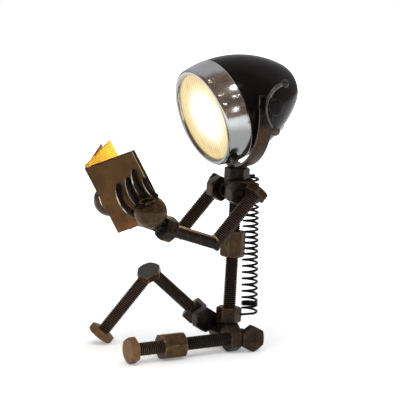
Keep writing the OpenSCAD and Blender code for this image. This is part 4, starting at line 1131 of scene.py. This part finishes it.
# %% Fluted lens
BULGE, EDGE, FLUTE, LENS_FACE = 8.5, 3.0, 5.2, -23.0
LENS_CURVE = (LENS_R ** 2 + BULGE ** 2) / (2 * BULGE)
LENS_MID = LENS_FACE - BULGE + LENS_CURVE


def lens_sheet(radius, depth, ribs=0.0, full=0.0, rows=64, cols=176):
    """Upright strips across a disc: x runs evenly, y runs between the disc's edges, and
    z is the dome's height plus a half-round rib for each flute."""
    x = np.linspace(-radius, radius, cols)
    y = np.linspace(-1, 1, rows)[:, None] * np.sqrt(np.maximum(radius ** 2 - x ** 2, 0))
    far2 = x ** 2 + y ** 2
    dome = LENS_MID - np.sqrt((LENS_CURVE - depth) ** 2 - far2) - full * far2 / radius ** 2
    rib = ribs * np.abs(np.sin(pi * x / FLUTE)) * share(radius - np.sqrt(far2), 3)
    return np.stack([np.broadcast_to(x, y.shape), y, dome + rib], -1), 0.0, False


front_r, back_r, flange_r = LENS_R - 0.22, LENS_R - 1.6, 61.8
flange_z, flange_back = LENS_FACE + SKIN, LENS_FACE + EDGE - SKIN
lens_grids = [lens_sheet(front_r, SKIN, full=4.0), lens_sheet(back_r, EDGE + 0.1, -0.7),
              lathe([(front_r, LENS_FACE - 4.0), (front_r, flange_z), (flange_r, flange_z),
                     (flange_r, flange_back), (back_r, flange_back)], 180)]

GLOW_R = 0.030
glow = Finish("lens_glow", Roughness=0.08, Emission_Strength=1.0)
centre = (ORIGIN + put(Z * -28, head_at)) * MM
upright = glow.place(turn=(-tilt, 0, 0))
across = glow.axis(0, upright)
downward = glow.axis(1, upright) - float(centre @ head_at[:3, 1]) + 0.003
stripe = (across * (pi / FLUTE / MM)).sin().abs()
streak = glow.noise(0.0035, 4, 0.7, glow.place((1, 0.08, 0.08)))
aside = across - 0.022
spot = (aside * aside + downward * downward * 1.25) * (1 / GLOW_R ** 2)
heat = ((1.30 - spot * 0.42).most(0.16) + (stripe - 0.64) * 0.08 + (streak - 0.5) * 0.7
        + (glow.noise(0.016, 3) - 0.5) * 0.3)
glow.set("Base Color", (0.06, 0.05, 0.03, 1))
glow.set("Emission Color", glow.ramp(
    heat, (0.0, (0.62, 0.43, 0.15)), (0.25, (0.78, 0.61, 0.28)), (0.55, (0.88, 0.74, 0.41)),
    (0.85, (1.0, 0.97, 0.86)), (1.0, (1.0, 1.0, 1.0))))
glow.bump((1 - stripe) * (1 - stripe), 0.0004)
piece("lens_front", placed(lens_grids, head_at), "lens", glow, slot="lens_glass",
      body="headlamp")
print("lens lit, radius", LENS_R, "curve", round(LENS_CURVE, 1))

# %% [markdown]
# ## Clamp lever
# The lever on the left side is an old-fashioned clamp: a round hub, a disc, and an arm
# that curves to a ball at each end. The arm is one tube that follows two arcs.

# %% Lever
DISC_R, LEVER_MID, BALL, LOWER_BALL = 10.0, 90.0, 5.0, 6.0
turned = [(0, 72.95, 0.1), (6.2, 72.95, 0.4), (6.5, 73.3, 0.4), (6.5, 85.4, 0.2),
          (6.9, 86.0, 0.2), (9.2, 86.0, 0.3), (10.0, 86.8, 0.5), (10.0, 92.6, 0.4),
          (9.7, 93.2, 0.4), (9.2, 93.5, 0.2), (6.4, 93.6, 0.1), (5.6, 93.62, 0.1),
          (3.4, 93.7, 0.1), (2.6, 93.75, 0.1), (0, 93.8, 0.1)]
hub = lathe([(r, z) for r, z, rub_and_glint in turned], 72, [rub_and_glint * 0.1 for r, z, rub_and_glint in turned])


def lever_arc(radius, end, rows):
    """Arc across the lever between the disc, at 180 degrees, and an end: x to the rear, y up."""
    flat = arc((radius - DISC_R - 0.8, 0), radius, pi, radians(end), rows)
    return np.insert(flat, 2, LEVER_MID, axis=1)


def ball(centre, radius, wear):
    P, rub_and_glint, wrap = lathe(arc((0, 0), radius, pi / 2, -pi / 2, 24), 32, wear)
    return P + centre, rub_and_glint, wrap


upper, lower = lever_arc(28.7, 97, 40)[::-1], lever_arc(40.8, 225.7, 34)
arm = np.concatenate([upper, lower[1:]])
arm_tube = tube(arm, 1.9 - 0.55 * np.tanh(np.linspace(-2.5, 2.5, len(arm))), 20)[0]
# The arm's lighter streaks are partly wear, partly painted highlights.
lever = [hub, (arm_tube, 0.3 + 0.4 * np.clip(lumps(arm_tube, 4.0, 1.0), 0, 1), True),
         ball(upper[0], BALL - SKIN, 0.12), ball(lower[-1], LOWER_BALL - SKIN, 0.3)]


def lever_tone(P):
    """Nearly black disc and hub, greyer arm and balls."""
    away = np.hypot(P[:, 1] - pivot[1], P[:, 2] - pivot[2])
    return np.where(away < DISC_R + 0.3, 0.02, 0.12)


piece("clamp_arm", placed(lever, columns(Y, Z, X, pivot * [0, 1, 1])), "clamp_lever",
      lever_steel, lever_tone, "dark_steel", body="clamp")
print("lever dressed")

# %% [markdown]
# ## The pieces that keep their solid shape
# Washers, bosses, the pivot bolt and the parts inside the lamp are right as they are. They
# only need their finish: bead metal, plated steel, rubber, brass and a silvered bowl.

# %% Finishes for the rest
def plain(name, size, detail, first, second, rough, vary, metal=1.0):
    """Clouds of two colours, with a roughness that follows them."""
    made = Finish(name, Metallic=metal)
    cloud = made.noise(size, detail)
    made.paint(first, (cloud, second))
    made.set("Roughness", rough + cloud * vary)
    return made


rubber = plain("soft_rubber", 0.0012, 4, (0.012, 0.012, 0.012), (0.03, 0.03, 0.029), 0.62,
               0.15, 0.0)
rubber.bump(rubber.noise(0.0012), 0.0001)
silver = plain("reflector_silver", 0.01, 4, (0.92, 0.91, 0.88), (0.84, 0.82, 0.78), 0.06, 0.06)
plated = plain("plated_steel", 0.006, 5, (0.56, 0.56, 0.57), (0.42, 0.41, 0.40), 0.28, 0.15)
brass = plain("cap_brass", 0.004, 5, (0.78, 0.6, 0.28), (0.55, 0.4, 0.18), 0.28, 0.2)
moulded = plain("holder_plastic", 0.002, 3, (0.035, 0.035, 0.038), (0.055, 0.055, 0.058),
                0.45, 0.1, 0.0)
frosted = plain("bulb_frosted", 0.01, 2, (0.9, 0.85, 0.7), (0.9, 0.85, 0.7), 0.4, 0.1, 0.0)
frosted.set("Emission Color", frosted.mix(frosted.noise(0.01, 2), (1.0, 0.85, 0.5),
                                          (1.0, 0.78, 0.4)))
frosted.set("Emission Strength", 1.5)
weld_plain = old_steel("plain_weld", 0.36, 0.24, swing=0.5, rust=0.2)
dark_plain = old_steel("plain_dark_steel", 0.38, 0.22, swing=0.4, rust=0.35)

kept = dict.fromkeys(["torso_welds", "hip_welds"], weld_plain)
kept |= dict.fromkeys(["rim_screw", "left_boss", "right_boss", "pivot_bolt", "pivot_washer",
                       "clamp_washer", "clamp_stud"], dark_plain)
kept |= {"lens_gasket": rubber, "cable_grommet": rubber, "reflector": silver,
         "retaining_ring": plated, "lamp_holder": moulded, "bulb_cap": brass,
         "bulb_glass": frosted}
for name, finish in kept.items():
    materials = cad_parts[name].data.materials
    materials.clear()
    materials.append(finish.material)
print("nodes that keep their shape:", len(kept))

# %% [markdown]
# ## Lamplight
# The lamp is on. A warm disc of light just in front of the lens shines along the lamp's
# axis, so the page, the forearms and the knee catch gold. It is tied to the head.

# %% Warm light in front of the lens
light = bpy.data.lights.new("lamp_beam", "AREA")
light.shape, light.size, light.spread = "DISK", 0.1, radians(120)
light.energy, light.color = 0.5, (1.0, 0.74, 0.40)
beam_at = head_at @ shift(0, 0, -34.0)
beam_at[:3, 3] = (ORIGIN + beam_at[:3, 3]) * MM
beam = add("lamp_beam", light, beam_at)
beam.visible_camera = beam.visible_glossy = False
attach(beam, "headlamp")
print("beam at", np.round(beam_at[:3, 3], 3))
